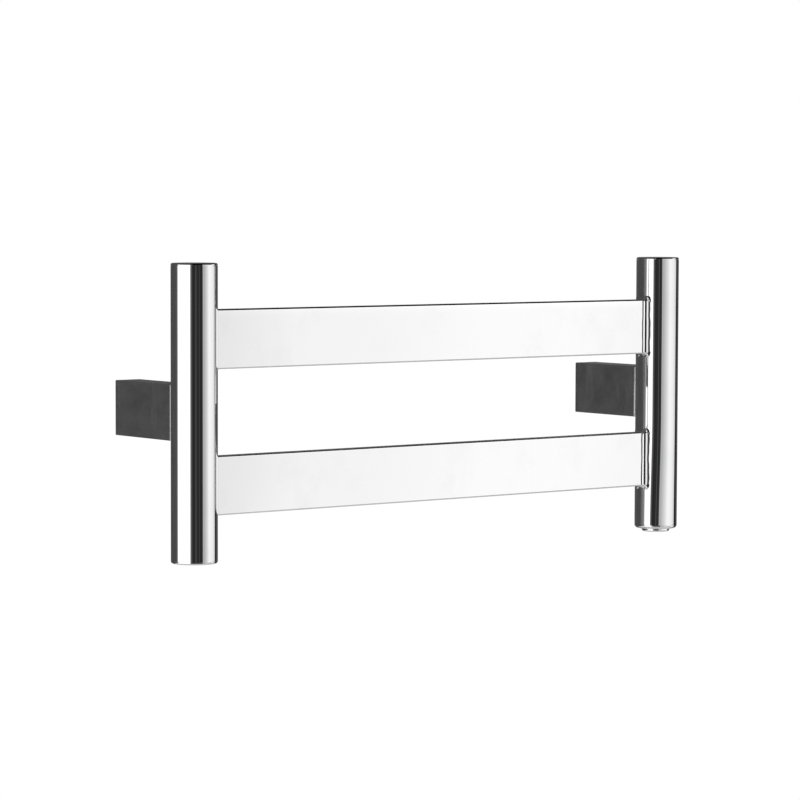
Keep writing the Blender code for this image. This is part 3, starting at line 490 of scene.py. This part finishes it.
def rounded_loop(width, height, corner, steps, pitch):
    """Points and outward normals of a rounded rectangle, as (x, z, nx, nz)."""
    ways = ((1, 1), (-1, 1), (-1, -1), (1, -1))
    centres = [(x_way * (width / 2 - corner), z_way * (height / 2 - corner)) for x_way, z_way in ways]
    outline = []
    for quarter, centre in enumerate(centres):
        spots = arc(centre, corner, 90 * quarter, 90 * quarter + 90, steps)
        normals = arc((0, 0), 1, 90 * quarter, 90 * quarter + 90, steps)
        outline += [(*spot, *normal) for spot, normal in zip(spots, normals)]
        last, normal = spots[-1], normals[-1]
        following = centres[(quarter + 1) % 4]
        goal = [a + corner * b for a, b in zip(following, normal)]
        count = max(2, round(math.dist(last, goal) / pitch))
        for step in range(1, count):
            outline.append((*(a + (b - a) * step / count for a, b in zip(last, goal)), *normal))
    return outline


def finished(name, shape, material, body, slot, *stands_for, smooth=SMOOTH_BELOW):
    """Turns a bmesh into a finished piece that rides on a body."""
    bmesh.ops.remove_doubles(shape, verts=shape.verts, dist=1e-7)
    bmesh.ops.recalc_face_normals(shape, faces=shape.faces)
    mesh = bpy.data.meshes.new(name)
    shape.to_mesh(mesh)
    shape.free()
    mesh.shade_smooth()
    mesh.set_sharp_from_angle(angle=math.radians(smooth))
    mesh.materials.append(material)
    return rides(linked(name, mesh), body, slot, *stands_for)


def rides(piece, body, slot, *stands_for):
    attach(piece, body)
    if stands_for:
        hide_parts(*stands_for)
    return piece


def spun(profile, centre):
    """A bmesh turned about an upright axis. The profile is (radius, height) pairs, open or a loop."""
    shape = bmesh.new()
    corners = [shape.verts.new((radius, 0, height)) for radius, height in profile]
    closed = not (profile[0][0] == 0 and profile[-1][0] == 0)
    pairs = zip(corners, corners[1:] + corners[:1]) if closed else zip(corners, corners[1:])
    edges = [shape.edges.new(pair) for pair in pairs if not pair[0].co.x == pair[1].co.x == 0]
    turn = {"cent": (0, 0, 0), "axis": (0, 0, 1), "angle": math.tau, "steps": TURN_STEPS, "use_merge": True}
    bmesh.ops.spin(shape, geom=corners + edges, **turn)
    bmesh.ops.remove_doubles(shape, verts=shape.verts, dist=1e-7)
    bmesh.ops.translate(shape, verts=shape.verts, vec=centre)
    return shape


print("helpers ready")

# %% [markdown]
# ## Uprights
#
# Each upright is one polished tube. The flat bars enter it through slots. A Boolean would leave long thin
# faces around each slot and a mirror would show them, so the tube is laid out as a grid of angles and heights
# instead, and the cells inside a slot are simply left out. Their edges are then closed through the wall.


# %% Tube walls with windows for the bars
AROUND = 150
ROW = 8 * MM


def spaced(start, end, step):
    count = max(1, math.ceil(abs(end - start) / step))
    return [start + (end - start) * index / count for index in range(count)]


def tube_with_slots(side):
    """The upright's wall as a grid, open at both ends and at the two bar slots."""
    way = SIDES[side]
    low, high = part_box(f"{side}_upright_tube")
    axis = AXIS[side]
    inner = TUBE_RADIUS - TUBE_WALL
    half_slot = math.asin((BAR_SIZE.y / 2 + CLEARANCE) / TUBE_RADIUS)
    towards_bar = 0 if way < 0 else math.pi
    slot_edges = [towards_bar - half_slot, towards_bar + half_slot]
    rest = math.tau - 2 * half_slot
    angles = [slot_edges[0], towards_bar] + [slot_edges[1] + rest * step / AROUND for step in range(AROUND)]
    half_window = BAR_SIZE.z / 2 + CLEARANCE
    windows = [(BARS[bar].z - half_window, BARS[bar].z + half_window) for bar in ("lower", "upper")]
    stops = [low.z, *windows[0], *windows[1], high.z]
    heights = []
    for start, end in zip(stops, stops[1:]):
        heights += spaced(start, end, ROW)
    heights.append(high.z)
    shape = bmesh.new()
    rings = {}
    for radius in (TUBE_RADIUS, inner):
        for row, z in enumerate(heights):
            for column, angle in enumerate(angles):
                spot = (axis.x + radius * math.cos(angle), axis.y + radius * math.sin(angle), z)
                rings[radius, row, column] = shape.verts.new(spot)
    cells = set()
    for row in range(len(heights) - 1):
        level = (heights[row] + heights[row + 1]) / 2
        open_row = any(bottom < level < top for bottom, top in windows)
        for column in range(len(angles)):
            if not (open_row and column in (0, 1)):
                cells.add((row, column))
    for row, column in cells:
        after = (column + 1) % len(angles)
        for radius in (TUBE_RADIUS, inner):
            ring = [(row, column), (row, after), (row + 1, after), (row + 1, column)]
            shape.faces.new([rings[radius, *corner] for corner in ring])
        borders = {
            (row - 1, column): ((row, column), (row, after)),
            (row + 1, column): ((row + 1, column), (row + 1, after)),
            (row, (column - 1) % len(angles)): ((row, column), (row + 1, column)),
            (row, after): ((row, after), (row + 1, after)),
        }
        for neighbour, (first, second) in borders.items():
            if neighbour not in cells:
                corners = [rings[TUBE_RADIUS, *first], rings[TUBE_RADIUS, *second]]
                corners += [rings[inner, *second], rings[inner, *first]]
                shape.faces.new(corners)
    return shape


for side in SIDES:
    name = f"{side}_upright"
    finish = RIGHT_TUBE_FINISH if side == "right" else TUBE_FINISH
    finished(name, tube_with_slots(side), finish, "rack", "polished_stainless", f"{side}_upright_tube")

# %% [markdown]
# ## End caps
#
# The caps are pressed in and polished together with the tube, so the edge is one soft curve with only a hair
# of a seam below it.


# %% Caps at both ends
CAP_EDGE = 1.6 * MM
CAP_THICK = 2.0 * MM
SEAM_DEPTH = 0.12 * MM
SPIGOT = TUBE_RADIUS - TUBE_WALL - CLEARANCE


def cap(node, side, up):
    """A cap whose edge is a quarter circle. up is 1 on top and -1 at the foot."""
    low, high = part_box(node)
    face = high.z if up > 0 else low.z
    deep, lead_in, strip = high.z - low.z, 0.4 * MM, 0.3 * MM
    rim = [(0, -deep), (SPIGOT - lead_in, -deep), (SPIGOT, -deep + lead_in), (SPIGOT, -CAP_THICK)]
    rim += [(TUBE_RADIUS - SEAM_DEPTH, -CAP_THICK), (TUBE_RADIUS, -CAP_THICK + SEAM_DEPTH)]
    rim += [(TUBE_RADIUS, -CAP_EDGE - 0.1 * MM)]
    rim += arc((TUBE_RADIUS - CAP_EDGE, -CAP_EDGE), CAP_EDGE, 0, 90, 12)
    rim += [(TUBE_RADIUS - CAP_EDGE - strip, 0), (TUBE_RADIUS * 0.5, 0), (0, 0)]
    profile = [(radius, face + up * height) for radius, height in rim]
    shape = spun(profile, (AXIS[side].x, AXIS[side].y, 0))
    finished(node.replace("_cap", "_end"), shape, TUBE_FINISH, "rack", "polished_stainless", node)


cap("left_top_cap", "left", 1)
cap("right_top_cap", "right", 1)
cap("left_bottom_cap", "left", -1)
print("three caps, edge radius", CAP_EDGE / MM, "mm")

# %% [markdown]
# ## Flat bars
#
# A bar is a rectangular tube with small rounded corners: a section that is swept along a straight path. That
# is a rule, so Geometry Nodes can own it. The tree draws the outer and inner rounded rectangles, fills the
# ring between them and extrudes it.


# %% A Geometry Nodes tree for hollow box sections
def geometry_group(name, inputs):
    """A Geometry Nodes tree with a geometry output and named inputs."""
    group = bpy.data.node_groups.new(name, "GeometryNodeTree")
    group.interface.new_socket("Geometry", in_out="INPUT", socket_type="NodeSocketGeometry")
    group.interface.new_socket("Geometry", in_out="OUTPUT", socket_type="NodeSocketGeometry")
    for label, kind, value in inputs:
        socket = group.interface.new_socket(label, in_out="INPUT", socket_type=kind)
        if value is not None:
            socket.default_value = value
    tree = Tree(group)
    return group, tree, tree.add("NodeGroupInput"), tree.add("NodeGroupOutput")


def grown(name, group, values, material):
    """Runs a Geometry Nodes tree on an empty mesh and keeps the result as a plain mesh object."""
    seed = linked(name, bpy.data.meshes.new(name))
    modifier = seed.modifiers.new(name, "NODES")
    modifier.node_group = group
    sockets = {item.name: item.identifier for item in group.interface.items_tree if item.in_out == "INPUT"}
    for label, value in {**values, "Material": material}.items():
        modifier[sockets[label]] = value
    bpy.context.view_layer.update()
    ready = seed.evaluated_get(bpy.context.evaluated_depsgraph_get())
    mesh = bpy.data.meshes.new_from_object(ready)
    seed.modifiers.remove(modifier)
    seed.data = mesh
    mesh.name = name
    return seed


def dressed_output(tree, given, made, geometry):
    """The end of every tree: instances made real, the material set, the group's output fed."""
    real = tree.add("GeometryNodeRealizeInstances", {"Geometry": geometry}).outputs[0]
    finish = {"Geometry": real, "Material": given.outputs["Material"]}
    tree.feed(made.inputs[0], tree.add("GeometryNodeSetMaterial", finish).outputs[0])


MATERIAL_SOCKET = ("Material", "NodeSocketMaterial", None)
LENGTH = "NodeSocketFloat"
section, tree, given, made = geometry_group(
    "box_section",
    [
        ("Width", LENGTH, 0.05),
        ("Depth", LENGTH, 0.01),
        ("Corner", LENGTH, 0.0015),
        ("Wall", LENGTH, 0.001),
        ("Length", LENGTH, 0.5),
        MATERIAL_SOCKET,
    ],
)


def rounded_outline(shrink):
    """A filleted rectangle, smaller than the section by a wall on each side when shrink is 1."""
    inset = tree.math("MULTIPLY", given.outputs["Wall"], 2.0 * shrink)
    width = tree.math("SUBTRACT", given.outputs["Width"], inset)
    depth = tree.math("SUBTRACT", given.outputs["Depth"], inset)
    base = tree.add("GeometryNodeCurvePrimitiveQuadrilateral", {"Width": width, "Height": depth})
    smaller = tree.math("MULTIPLY", given.outputs["Wall"], shrink)
    corner = tree.math("MAXIMUM", tree.math("SUBTRACT", given.outputs["Corner"], smaller), 0.0002)
    rounding = {"Curve": base.outputs[0], "Radius": corner, "Count": 9, "Limit Radius": True}
    return tree.add("GeometryNodeFilletCurve", rounding, mode="POLY").outputs[0]


outlines = tree.add("GeometryNodeJoinGeometry")
for shrink in (0, 1):
    section.links.new(rounded_outline(shrink), outlines.inputs[0])
ring = tree.add("GeometryNodeFillCurve", {"Curve": outlines.outputs[0]}, mode="TRIANGLES")
lift = tree.add("ShaderNodeCombineXYZ", {"Z": given.outputs["Length"]})
drawn_out = {"Mesh": ring.outputs[0], "Offset": lift.outputs[0], "Individual": False}
walls = tree.add("GeometryNodeExtrudeMesh", drawn_out, mode="FACES")
base = tree.add("GeometryNodeFlipFaces", {"Mesh": ring.outputs[0]})
closed = tree.add("GeometryNodeJoinGeometry")
for part in (walls, base):
    section.links.new(part.outputs[0], closed.inputs[0])
welded = tree.add("GeometryNodeMergeByDistance", {"Geometry": closed.outputs[0], "Distance": 1e-6})
centred = tree.add("ShaderNodeCombineXYZ", {"Z": tree.math("MULTIPLY", given.outputs["Length"], -0.5)})
moved = tree.add("GeometryNodeTransform", {"Geometry": welded.outputs[0], "Translation": centred.outputs[0]})
dressed_output(tree, given, made, moved.outputs[0])
print("box section tree:", len(section.nodes), "nodes")


# %% Put grown meshes in place
def placed(piece, matrix):
    """Moves a grown mesh to its place, turns its faces outwards and smooths it."""
    shape = bmesh.new()
    shape.from_mesh(piece.data)
    bmesh.ops.transform(shape, matrix=matrix, verts=shape.verts)
    bmesh.ops.remove_doubles(shape, verts=shape.verts, dist=1e-7)
    bmesh.ops.recalc_face_normals(shape, faces=shape.faces)
    shape.to_mesh(piece.data)
    shape.free()
    piece.data.shade_smooth()
    piece.data.set_sharp_from_angle(angle=math.radians(SMOOTH_BELOW))
    return piece


ALONG_X = Matrix.Rotation(math.pi / 2, 4, "Y")
BAR_CORNER = 1.5 * MM
BAR_WALL = 1.0 * MM
for level, centre in BARS.items():
    values = {"Width": BAR_SIZE.z, "Depth": BAR_SIZE.y, "Length": BAR_SIZE.x}
    values.update({"Corner": BAR_CORNER, "Wall": BAR_WALL})
    bar = grown(f"{level}_bar", section, values, BAR_FINISH)
    placed(bar, Matrix.Translation(centre) @ ALONG_X)
    rides(bar, "rack", "polished_stainless", f"{level}_flat_bar")
    print(bar.name, len(bar.data.polygons), "faces")

# %% [markdown]
# ## Welds
#
# Each bar end is welded all round and polished. What is left is a low bead: a hollow toe, a steep side, a
# soft crest and a long run-out onto the tube. The bead is described by the direction its surface faces on
# the way from the bar to the tube, because that is what a mirror shows. Walking along those directions
# gives the profile, and a small turn and scale then make it end exactly on the tube.

# %% Bead round a bar end
# For each side: the reach on the bar's faces, shares of the way to the tube, and how far the facing turned.
BEADS = {
    "left": (1.9 * MM, (0.0, 0.06, 0.50, 0.60, 1.0), (0.0, 0.42, 0.54, 0.85, 1.0)),
    "right": (
        4.3 * MM,
        (0.0, 0.02, 0.15, 0.17, 0.27, 0.29, 0.49, 0.52, 0.65, 0.71, 0.75, 0.79, 1.0),
        (0.0, 0.60, 0.84, 1.22, 1.24, 0.84, 0.66, 0.18, 0.14, 0.44, 0.60, 0.86, 1.0),
    ),
}
BEAD_STEPS = 44
FACE_ON_TUBE = 5.2 * MM
EDGE_ON_BAR = 1.6 * MM
EDGE_ON_TUBE = 1.8 * MM
SKIRT = 4.6 * MM
BURIED = 0.25 * MM


def between(shares, values, share):
    """The value at a share of the way, on straight lines between the given ones."""
    for low, high, first, second in zip(shares, shares[1:], values, values[1:]):
        if share <= high:
            return first + (second - first) * (share - low) / (high - low)
    return values[-1]


def bead_profile(bead, start, end, start_normal, end_normal):
    """Points from the bar to the tube. Their facing turns from one normal to the other as the bead says."""
    axis = start_normal.cross(end_normal).normalized()
    span = start_normal.angle(end_normal)
    points = [Vector((0, 0, 0))]
    for step in range(BEAD_STEPS):
        turn = between(*bead, (step + 0.5) / BEAD_STEPS) * span
        facing = Quaternion(axis, turn) @ start_normal
        points.append(points[-1] + facing.cross(axis) * -1.0)
    aim = end - start
    fit = points[-1].rotation_difference(aim)
    scale = aim.length / points[-1].length
    return [start + (fit @ point) * scale for point in points]


def legs(reach, y, ny, nz):
    """How far the bead reaches on the bar and on the tube for a stretch of the outline."""
    front = max(0.0, min(1.0, (abs(y) - 2.0 * MM) / (3.0 * MM)))
    on_bar = reach * ny * ny + EDGE_ON_BAR * nz * nz
    on_tube = Vector((0, FACE_ON_TUBE * ny, (EDGE_ON_TUBE + SKIRT * front * front) * nz))
    return on_bar, on_tube


def weld_ring(side, level, phase):
    """A closed ring: the bead outside and its buried walls inside the bar and the tube. phase varies it."""
    inward = -SIDES[side]
    axis, centre = AXIS[side], BARS[level]
    reach, *bead = BEADS[side]
    shape = bmesh.new()
    sections = []
    outline = rounded_loop(BAR_SIZE.y, BAR_SIZE.z, BAR_CORNER, steps=12, pitch=1.2 * MM)
    for number, (y, z, ny, nz) in enumerate(outline):
        on_bar, on_tube = legs(reach, y, ny, nz)
        wobble = 1 + 0.035 * math.sin(0.23 * number + phase) + 0.02 * math.sin(0.61 * number + 2 * phase)
        corner_x = math.sqrt(TUBE_RADIUS**2 - y * y)
        start = Vector((corner_x + on_bar * wobble, y, z))
        y_end = y + on_tube.y * wobble
        end = Vector((math.sqrt(TUBE_RADIUS**2 - y_end**2), y_end, z + on_tube.z))
        end_normal = Vector((end.x, end.y, 0)).normalized()
        points = bead_profile(bead, start, end, Vector((0, ny, nz)), end_normal)
        points.append(points[-1] - end_normal * BURIED)
        deep_y = y - BURIED * ny
        points.append(Vector((math.sqrt((TUBE_RADIUS - BURIED) ** 2 - deep_y**2), deep_y, z - BURIED * nz)))
        points.append(points[0] - Vector((0, ny, nz)) * BURIED)
        loop = []
        for point in points:
            spot = (axis.x + inward * point.x, axis.y + point.y, centre.z + point.z)
            loop.append(shape.verts.new(spot))
        sections.append(loop)
    for loop, following in zip(sections, sections[1:] + sections[:1]):
        for index in range(len(loop)):
            after = (index + 1) % len(loop)
            shape.faces.new((loop[index], loop[after], following[after], following[index]))
    return shape


for number, side in enumerate(SIDES):
    for level in BARS:
        ring = weld_ring(side, level, number + BARS[level].z * 20)
        finished(f"{side}_{level}_weld", ring, WELD_FINISH, "rack", "polished_stainless", smooth=70)
print("four weld beads")

# %% [markdown]
# ## Brackets
#
# A bracket is a box sleeve that slides over a cast base on the wall. Its front end is cut to the curve of the
# upright, and a plate with a bevelled rim closes it there. A hair of a seam is left between the two. Both are
# lofted through outlines whose points know how far forward the round tube lets them go.

# %% Sleeve and nose of a bracket
SEAM = 16.6 * MM
SEAM_GAP = 0.55 * MM
CLEAR_OF_TUBE = 0.35 * MM
BOX_CORNER = 1.0 * MM
BOX_WALL = 1.5 * MM
LIP = 0.25 * MM
RIM = 1.0 * MM
RIM_EDGE = 0.15 * MM
RIM_STEPS = 6


def saddle(x):
    """How far behind the upright's axis the tube's surface is, at a distance x to its side."""
    return math.sqrt(max((TUBE_RADIUS + CLEAR_OF_TUBE) ** 2 - x * x, 0))


def lofted(loops, capped):
    """Joins loops of points into a tube, closed into a ring or capped at both ends."""
    shape = bmesh.new()
    rings = [[shape.verts.new(point) for point in loop] for loop in loops]
    pairs = list(zip(rings, rings[1:]))
    if not capped:
        pairs.append((rings[-1], rings[0]))
    for first, second in pairs:
        for index in range(len(first)):
            after = (index + 1) % len(first)
            shape.faces.new((first[index], first[after], second[after], second[index]))
    if capped:
        shape.faces.new(rings[0])
        shape.faces.new(rings[-1])
    return shape


def bracket(side):
    node = f"{side}_bracket_sleeve"
    size, centre, axis = size_of(node), middle(node), AXIS[side]
    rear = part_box(node)[1].y - axis.y
    plate_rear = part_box(f"{side}_end_plate")[1].y - axis.y
    outline = rounded_loop(size.x, size.z, BOX_CORNER, steps=8, pitch=1.5 * MM)

    def loop(inset, depth):
        points = []
        for x, z, *_ in outline:
            spot_x, spot_z = x * (1 - 2 * inset / size.x), z * (1 - 2 * inset / size.z)
            points.append((axis.x + spot_x, axis.y + depth(spot_x), centre.z + spot_z))
        return points

    def back(margin):
        return lambda x: rear - margin

    def front(margin):
        return lambda x: max(SEAM + SEAM_GAP, saddle(x) + CLEARANCE) + margin

    def plate(setback):
        return lambda x: max(SEAM - setback, saddle(x))

    # The sleeve: outer side, front lip, inner side and rear lip.
    sleeve = [loop(0, back(LIP)), loop(0, back(4 * LIP)), loop(0, front(4 * LIP)), loop(0, front(LIP))]
    sleeve += [loop(0.3 * LIP, front(0.3 * LIP)), loop(LIP, front(0))]
    sleeve += [loop(BOX_WALL, front(0)), loop(BOX_WALL, back(0))]
    sleeve += [loop(LIP, back(0)), loop(0.3 * LIP, back(0.3 * LIP))]
    shape = lofted(sleeve, False)
    finished(f"{side}_bracket", shape, BOX_FINISH, "rack", "polished_stainless", node)

    # The nose: a plug inside the sleeve, its bevelled rim, and the saddle against the tube.
    plug = BOX_WALL + CLEARANCE
    nose = [loop(plug, lambda x: plate_rear), loop(plug, front(0)), loop(RIM, plate(0))]
    nose += [loop(LIP, plate(0)), loop(RIM_EDGE, plate(LIP))]
    for step in range(1, RIM_STEPS + 1):
        share = step / RIM_STEPS

        def bevel(x, share=share):
            return plate(LIP)(x) * (1 - share) + saddle(x) * share

        nose.append(loop(RIM_EDGE + (RIM - RIM_EDGE) * share**1.2, bevel))
    nose += [loop(inset * MM, saddle) for inset in (2.5, 5.0, 8.0, 11.0)]
    shape = lofted(nose, True)
    stands_for = f"{side}_end_plate"
    finished(f"{side}_bracket_nose", shape, WELD_FINISH, "rack", "polished_stainless", stands_for, smooth=30)


for side in SIDES:
    bracket(side)
print("brackets with fitted noses")

# %% [markdown]
# ## Switch
#
# The right upright ends in a ring, a bezel with a soft edge and a round push button. All three are turned.
# The button rides on its own body, so that it moves when the joint does.

# %% Ring, bezel and button
SWITCH = Vector((AXIS["right"].x, AXIS["right"].y, 0))
ring_low, ring_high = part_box("right_bottom_ring")
bezel_low, bezel_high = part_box("switch_bezel")
button_low, button_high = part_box("switch_button")
FOOT = ring_low.z
RING_BORE = SPIGOT - 2.7 * MM
BARREL = RING_BORE - CLEARANCE
BARREL_BORE = BARREL - 1.0 * MM
FLANGE = BARREL_BORE - CLEARANCE
BUTTON = FLANGE - 1.2 * MM


def on_foot(name, profile, body, stands_for):
    """A turned piece of polished steel about the switch's axis."""
    finished(name, spun(profile, SWITCH), SWITCH_FINISH, body, "polished_stainless", stands_for)


def switch_ring():
    edge, lead_in, recess = 2.4 * MM, 0.5 * MM, 1.5 * MM
    shoulder, top = FOOT + CAP_THICK, ring_high.z
    profile = [(RING_BORE + recess, FOOT), (TUBE_RADIUS - 0.7 * MM, FOOT)]
    profile += arc((TUBE_RADIUS - edge, FOOT + 1.575 * MM), edge, -41, 0, 12)
    profile += [(TUBE_RADIUS, shoulder - SEAM_DEPTH), (TUBE_RADIUS - SEAM_DEPTH, shoulder)]
    profile += [(SPIGOT, shoulder), (SPIGOT, top - lead_in), (SPIGOT - lead_in, top), (RING_BORE, top)]
    profile += [(RING_BORE, FOOT + recess), (RING_BORE + recess, FOOT + recess)]
    on_foot("right_foot_ring", profile, "rack", "right_bottom_ring")


def bezel():
    low, top, bore = bezel_low.z, FOOT - CLEARANCE, BUTTON + CLEARANCE
    edge = 3.0 * MM
    rim = (TUBE_RADIUS - 3.01 * MM, FOOT + 1.67 * MM)
    profile = [(bore + 0.3 * MM, low), (bore + 1.2 * MM, low + 0.05 * MM)] + arc(rim, edge, -78, -41, 10)
    profile += [(TUBE_RADIUS - 0.75 * MM, top), (BARREL, top), (BARREL, bezel_high.z)]
    profile += [(BARREL_BORE, bezel_high.z), (BARREL_BORE, FOOT), (bore, FOOT), (bore, low + 0.3 * MM)]
    on_foot("bezel", profile, "rack", "switch_bezel")


def button():
    low, edge, stem, lead_in = button_low.z, 1.7 * MM, 4.0 * MM, 0.4 * MM
    flange_low, flange_high = FOOT + CLEARANCE, FOOT + 1.8 * MM
    profile = [(0, low + 0.15 * MM), (BUTTON * 0.55, low + 0.1 * MM), (BUTTON - 2.2 * MM, low)]
    profile += arc((BUTTON - edge, low + edge), edge, -90, 0, 8)
    profile += [(BUTTON, flange_low), (FLANGE, flange_low), (FLANGE, flange_high), (stem, flange_high)]
    profile += [(stem, button_high.z - lead_in), (stem - lead_in, button_high.z), (0, button_high.z)]
    on_foot("push_button", profile, "button", "switch_button")


switch_ring()
bezel()
button()
print("button radius", round(BUTTON / MM, 2), "mm")

# %% [markdown]
# ## The inner parts
#
# The wiring, the terminal block and the switch's works are mostly out of sight, but they show through the
# open ends of the brackets. They keep their engineering shapes. Each gets the surface of its own material:
# cast grain on the wall bases, turning marks on the screws, a fine moulded skin on the plastics and a matt
# bloom on rubber and silicone.


# %% Groups for bare metal and for moulded skins
SKIN_OUTPUTS = [("Color", COLOUR), ("Roughness", FLOAT), ("Height", FLOAT)]
bare_group, tree, given, made = group_of(
    "bare_metal_skin",
    [
        ("Metal", COLOUR, (0.7, 0.7, 0.7, 1)),
        ("Roughness", FLOAT, 0.35),
        ("Grain", FLOAT, 900.0),
        ("Pits", FLOAT, 0.3),
    ],
    SKIN_OUTPUTS,
)
place = tree.add("ShaderNodeTexCoord").outputs["Object"]
grain = tree.add("ShaderNodeTexNoise", {"Vector": place, "Scale": given.outputs["Grain"], "Detail": 4.0})
pits = tree.add("ShaderNodeTexVoronoi", {"Vector": place, "Scale": given.outputs["Grain"]})
pit_shape = tree.remap(pits.outputs["Distance"], 0.0, 0.25, 1.0, 0.0)
pitted = tree.math("MULTIPLY", pit_shape, given.outputs["Pits"])
stains = tree.add("ShaderNodeTexNoise", {"Vector": place, "Scale": 70.0, "Detail": 3.0})
stained = tree.math("MULTIPLY", tree.remap(stains.outputs["Fac"], 0.45, 0.75, smooth=True), 0.25)
oxide = tree.mix(0.8, given.outputs["Metal"], (0.12, 0.11, 0.10, 1), "MULTIPLY")
tree.feed(made.inputs["Color"], tree.mix(stained, given.outputs["Metal"], oxide))
duller = tree.math("MULTIPLY", stained, 0.4)
tree.feed(made.inputs["Roughness"], tree.math("ADD", given.outputs["Roughness"], duller))
tree.feed(made.inputs["Height"], tree.math("SUBTRACT", grain.outputs["Fac"], pitted))

skin_group, tree, given, made = group_of(
    "moulded_skin",
    [
        ("Base", COLOUR, (0.5, 0.5, 0.5, 1)),
        ("Roughness", FLOAT, 0.45),
        ("Bloom", FLOAT, 0.1),
        ("Texture", FLOAT, 1800.0),
    ],
    SKIN_OUTPUTS,
)
place = tree.add("ShaderNodeTexCoord").outputs["Object"]
skin = tree.add("ShaderNodeTexNoise", {"Vector": place, "Scale": given.outputs["Texture"], "Detail": 2.0})
flow = tree.add("ShaderNodeTexNoise", {"Vector": place, "Scale": 55.0, "Detail": 4.0, "Roughness": 0.6})
bloomed = tree.remap(flow.outputs["Fac"], 0.42, 0.70, smooth=True)
bloom = tree.math("MULTIPLY", bloomed, given.outputs["Bloom"])
tree.feed(made.inputs["Color"], tree.mix(bloom, given.outputs["Base"], (0.6, 0.59, 0.57, 1)))
tree.feed(made.inputs["Roughness"], tree.math("ADD", given.outputs["Roughness"], bloom))
tree.feed(made.inputs["Height"], skin.outputs["Fac"])


def skinned(name, group, colour, metallic, relief, **values):
    """A Principled material whose colour, roughness and relief come from one of the groups."""
    material, tree = new_material(name)
    wear = tree.add("ShaderNodeGroup", node_tree=group)
    tree.feed(wear.inputs[0], (*colour, 1))
    for label, value in values.items():
        tree.feed(wear.inputs[label], value)
    worn_shader(tree, wear, {"Strength": 0.5, "Distance": relief}, Metallic=metallic)
    return material


SAND_CAST = {"Roughness": 0.42, "Grain": 700.0, "Pits": 0.6}
PLATED = {"Roughness": 0.28, "Grain": 2500.0, "Pits": 0.1}
TURNED = {"Roughness": 0.25, "Grain": 2200.0, "Pits": 0.1}
CAST = skinned("cast_aluminium", bare_group, (0.62, 0.63, 0.64), 1.0, 1.5e-4, **SAND_CAST)
STEEL = skinned("plated_steel", bare_group, (0.66, 0.66, 0.65), 1.0, 3e-5, **PLATED)
BRASS = skinned("turned_brass", bare_group, (0.80, 0.60, 0.30), 1.0, 3e-5, **TURNED)
BLACK = skinned("black_plastic", skin_group, (0.018, 0.018, 0.02), 0.0, 2e-5, Roughness=0.42, Bloom=0.06)
WHITE = skinned("white_plastic", skin_group, (0.80, 0.80, 0.77), 0.0, 2e-5, Roughness=0.40, Bloom=0.10)
RUBBER = skinned("black_rubber", skin_group, (0.022, 0.022, 0.022), 0.0, 4e-5, Roughness=0.62, Bloom=0.14)
SILICONES = {
    "red": (0.42, 0.05, 0.035),
    "brown": (0.16, 0.075, 0.035),
    "blue": (0.04, 0.12, 0.42),
    "earth": (0.16, 0.42, 0.06),
}
SOFT_SLEEVE = {"Roughness": 0.5, "Bloom": 0.12, "Texture": 1300.0}
SILICONE = {
    name: skinned(f"{name}_silicone", skin_group, colour, 0.0, 3e-5, **SOFT_SLEEVE)
    for name, colour in SILICONES.items()
}
print("bare metals: 3, moulded skins:", 3 + len(SILICONE))

# %% Dress the engineering nodes that stay
DRESS = {
    CAST: ("wall_base",),
    STEEL: ("upright_screw", "grub_screw", "weld_nut", "washer", "fixing_screw"),
    BRASS: ("terminal_screw", "ring_terminal", "switch_tail", "contact_bridge"),
    WHITE: ("terminal_block", "splice"),
    BLACK: ("thermal_cutout", "switch_body"),
    RUBBER: ("grommet", "seal"),
    SILICONE["red"]: ("heating_cable",),
    SILICONE["brown"]: ("cutout_link_lead", "switched_lead", "line_lead"),
    SILICONE["blue"]: ("neutral_lead",),
    SILICONE["earth"]: ("earth_lead",),
}
undressed = []
for name, node in nodes.items():
    if node.hide_render:
        continue
    match = [material for material, endings in DRESS.items() if name.endswith(endings)]
    if match:
        node.data.materials.clear()
        node.data.materials.append(match[0])
    else:
        undressed.append(name)
print("left for the next cell:", undressed)

# %% [markdown]
# ## The return spring
#
# A coil spring round the button's stem pushes the button back. The coil is grown to the length and width of
# the engineering spring and rides on the rack.

# %% Grow the coil
coil, tree, given, made = geometry_group(
    "return_spring_coil",
    [
        ("Turns", LENGTH, 4.0),
        ("Radius", LENGTH, 0.006),
        ("Height", LENGTH, 0.006),
        ("Wire", LENGTH, 0.0004),
        MATERIAL_SOCKET,
    ],
)
spiral = tree.add("GeometryNodeCurveSpiral", {"Resolution": 24})
sources = {"Rotations": "Turns", "Start Radius": "Radius", "End Radius": "Radius", "Height": "Height"}
for socket, source in sources.items():
    tree.feed(spiral.inputs[socket], given.outputs[source])
wire = tree.add("GeometryNodeCurvePrimitiveCircle", {"Radius": given.outputs["Wire"], "Resolution": 10})
sweep = {"Curve": spiral.outputs[0], "Profile Curve": wire.outputs[0], "Fill Caps": True}
dressed_output(tree, given, made, tree.add("GeometryNodeCurveToMesh", sweep).outputs[0])

WIRE = 0.35 * MM
spring_low, spring_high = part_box("switch_spring")
spring_length = spring_high.z - spring_low.z
coil_radius = (spring_high.x - spring_low.x) / 2 - WIRE
values = {"Turns": 4.0, "Radius": coil_radius, "Height": spring_length - 2 * WIRE, "Wire": WIRE}
spring = grown("return_spring", coil, values, STEEL)
placed(spring, Matrix.Translation(SWITCH + Vector((0, 0, spring_low.z + WIRE))))
rides(spring, "rack", "plain_steel", "switch_spring")
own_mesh(spring)
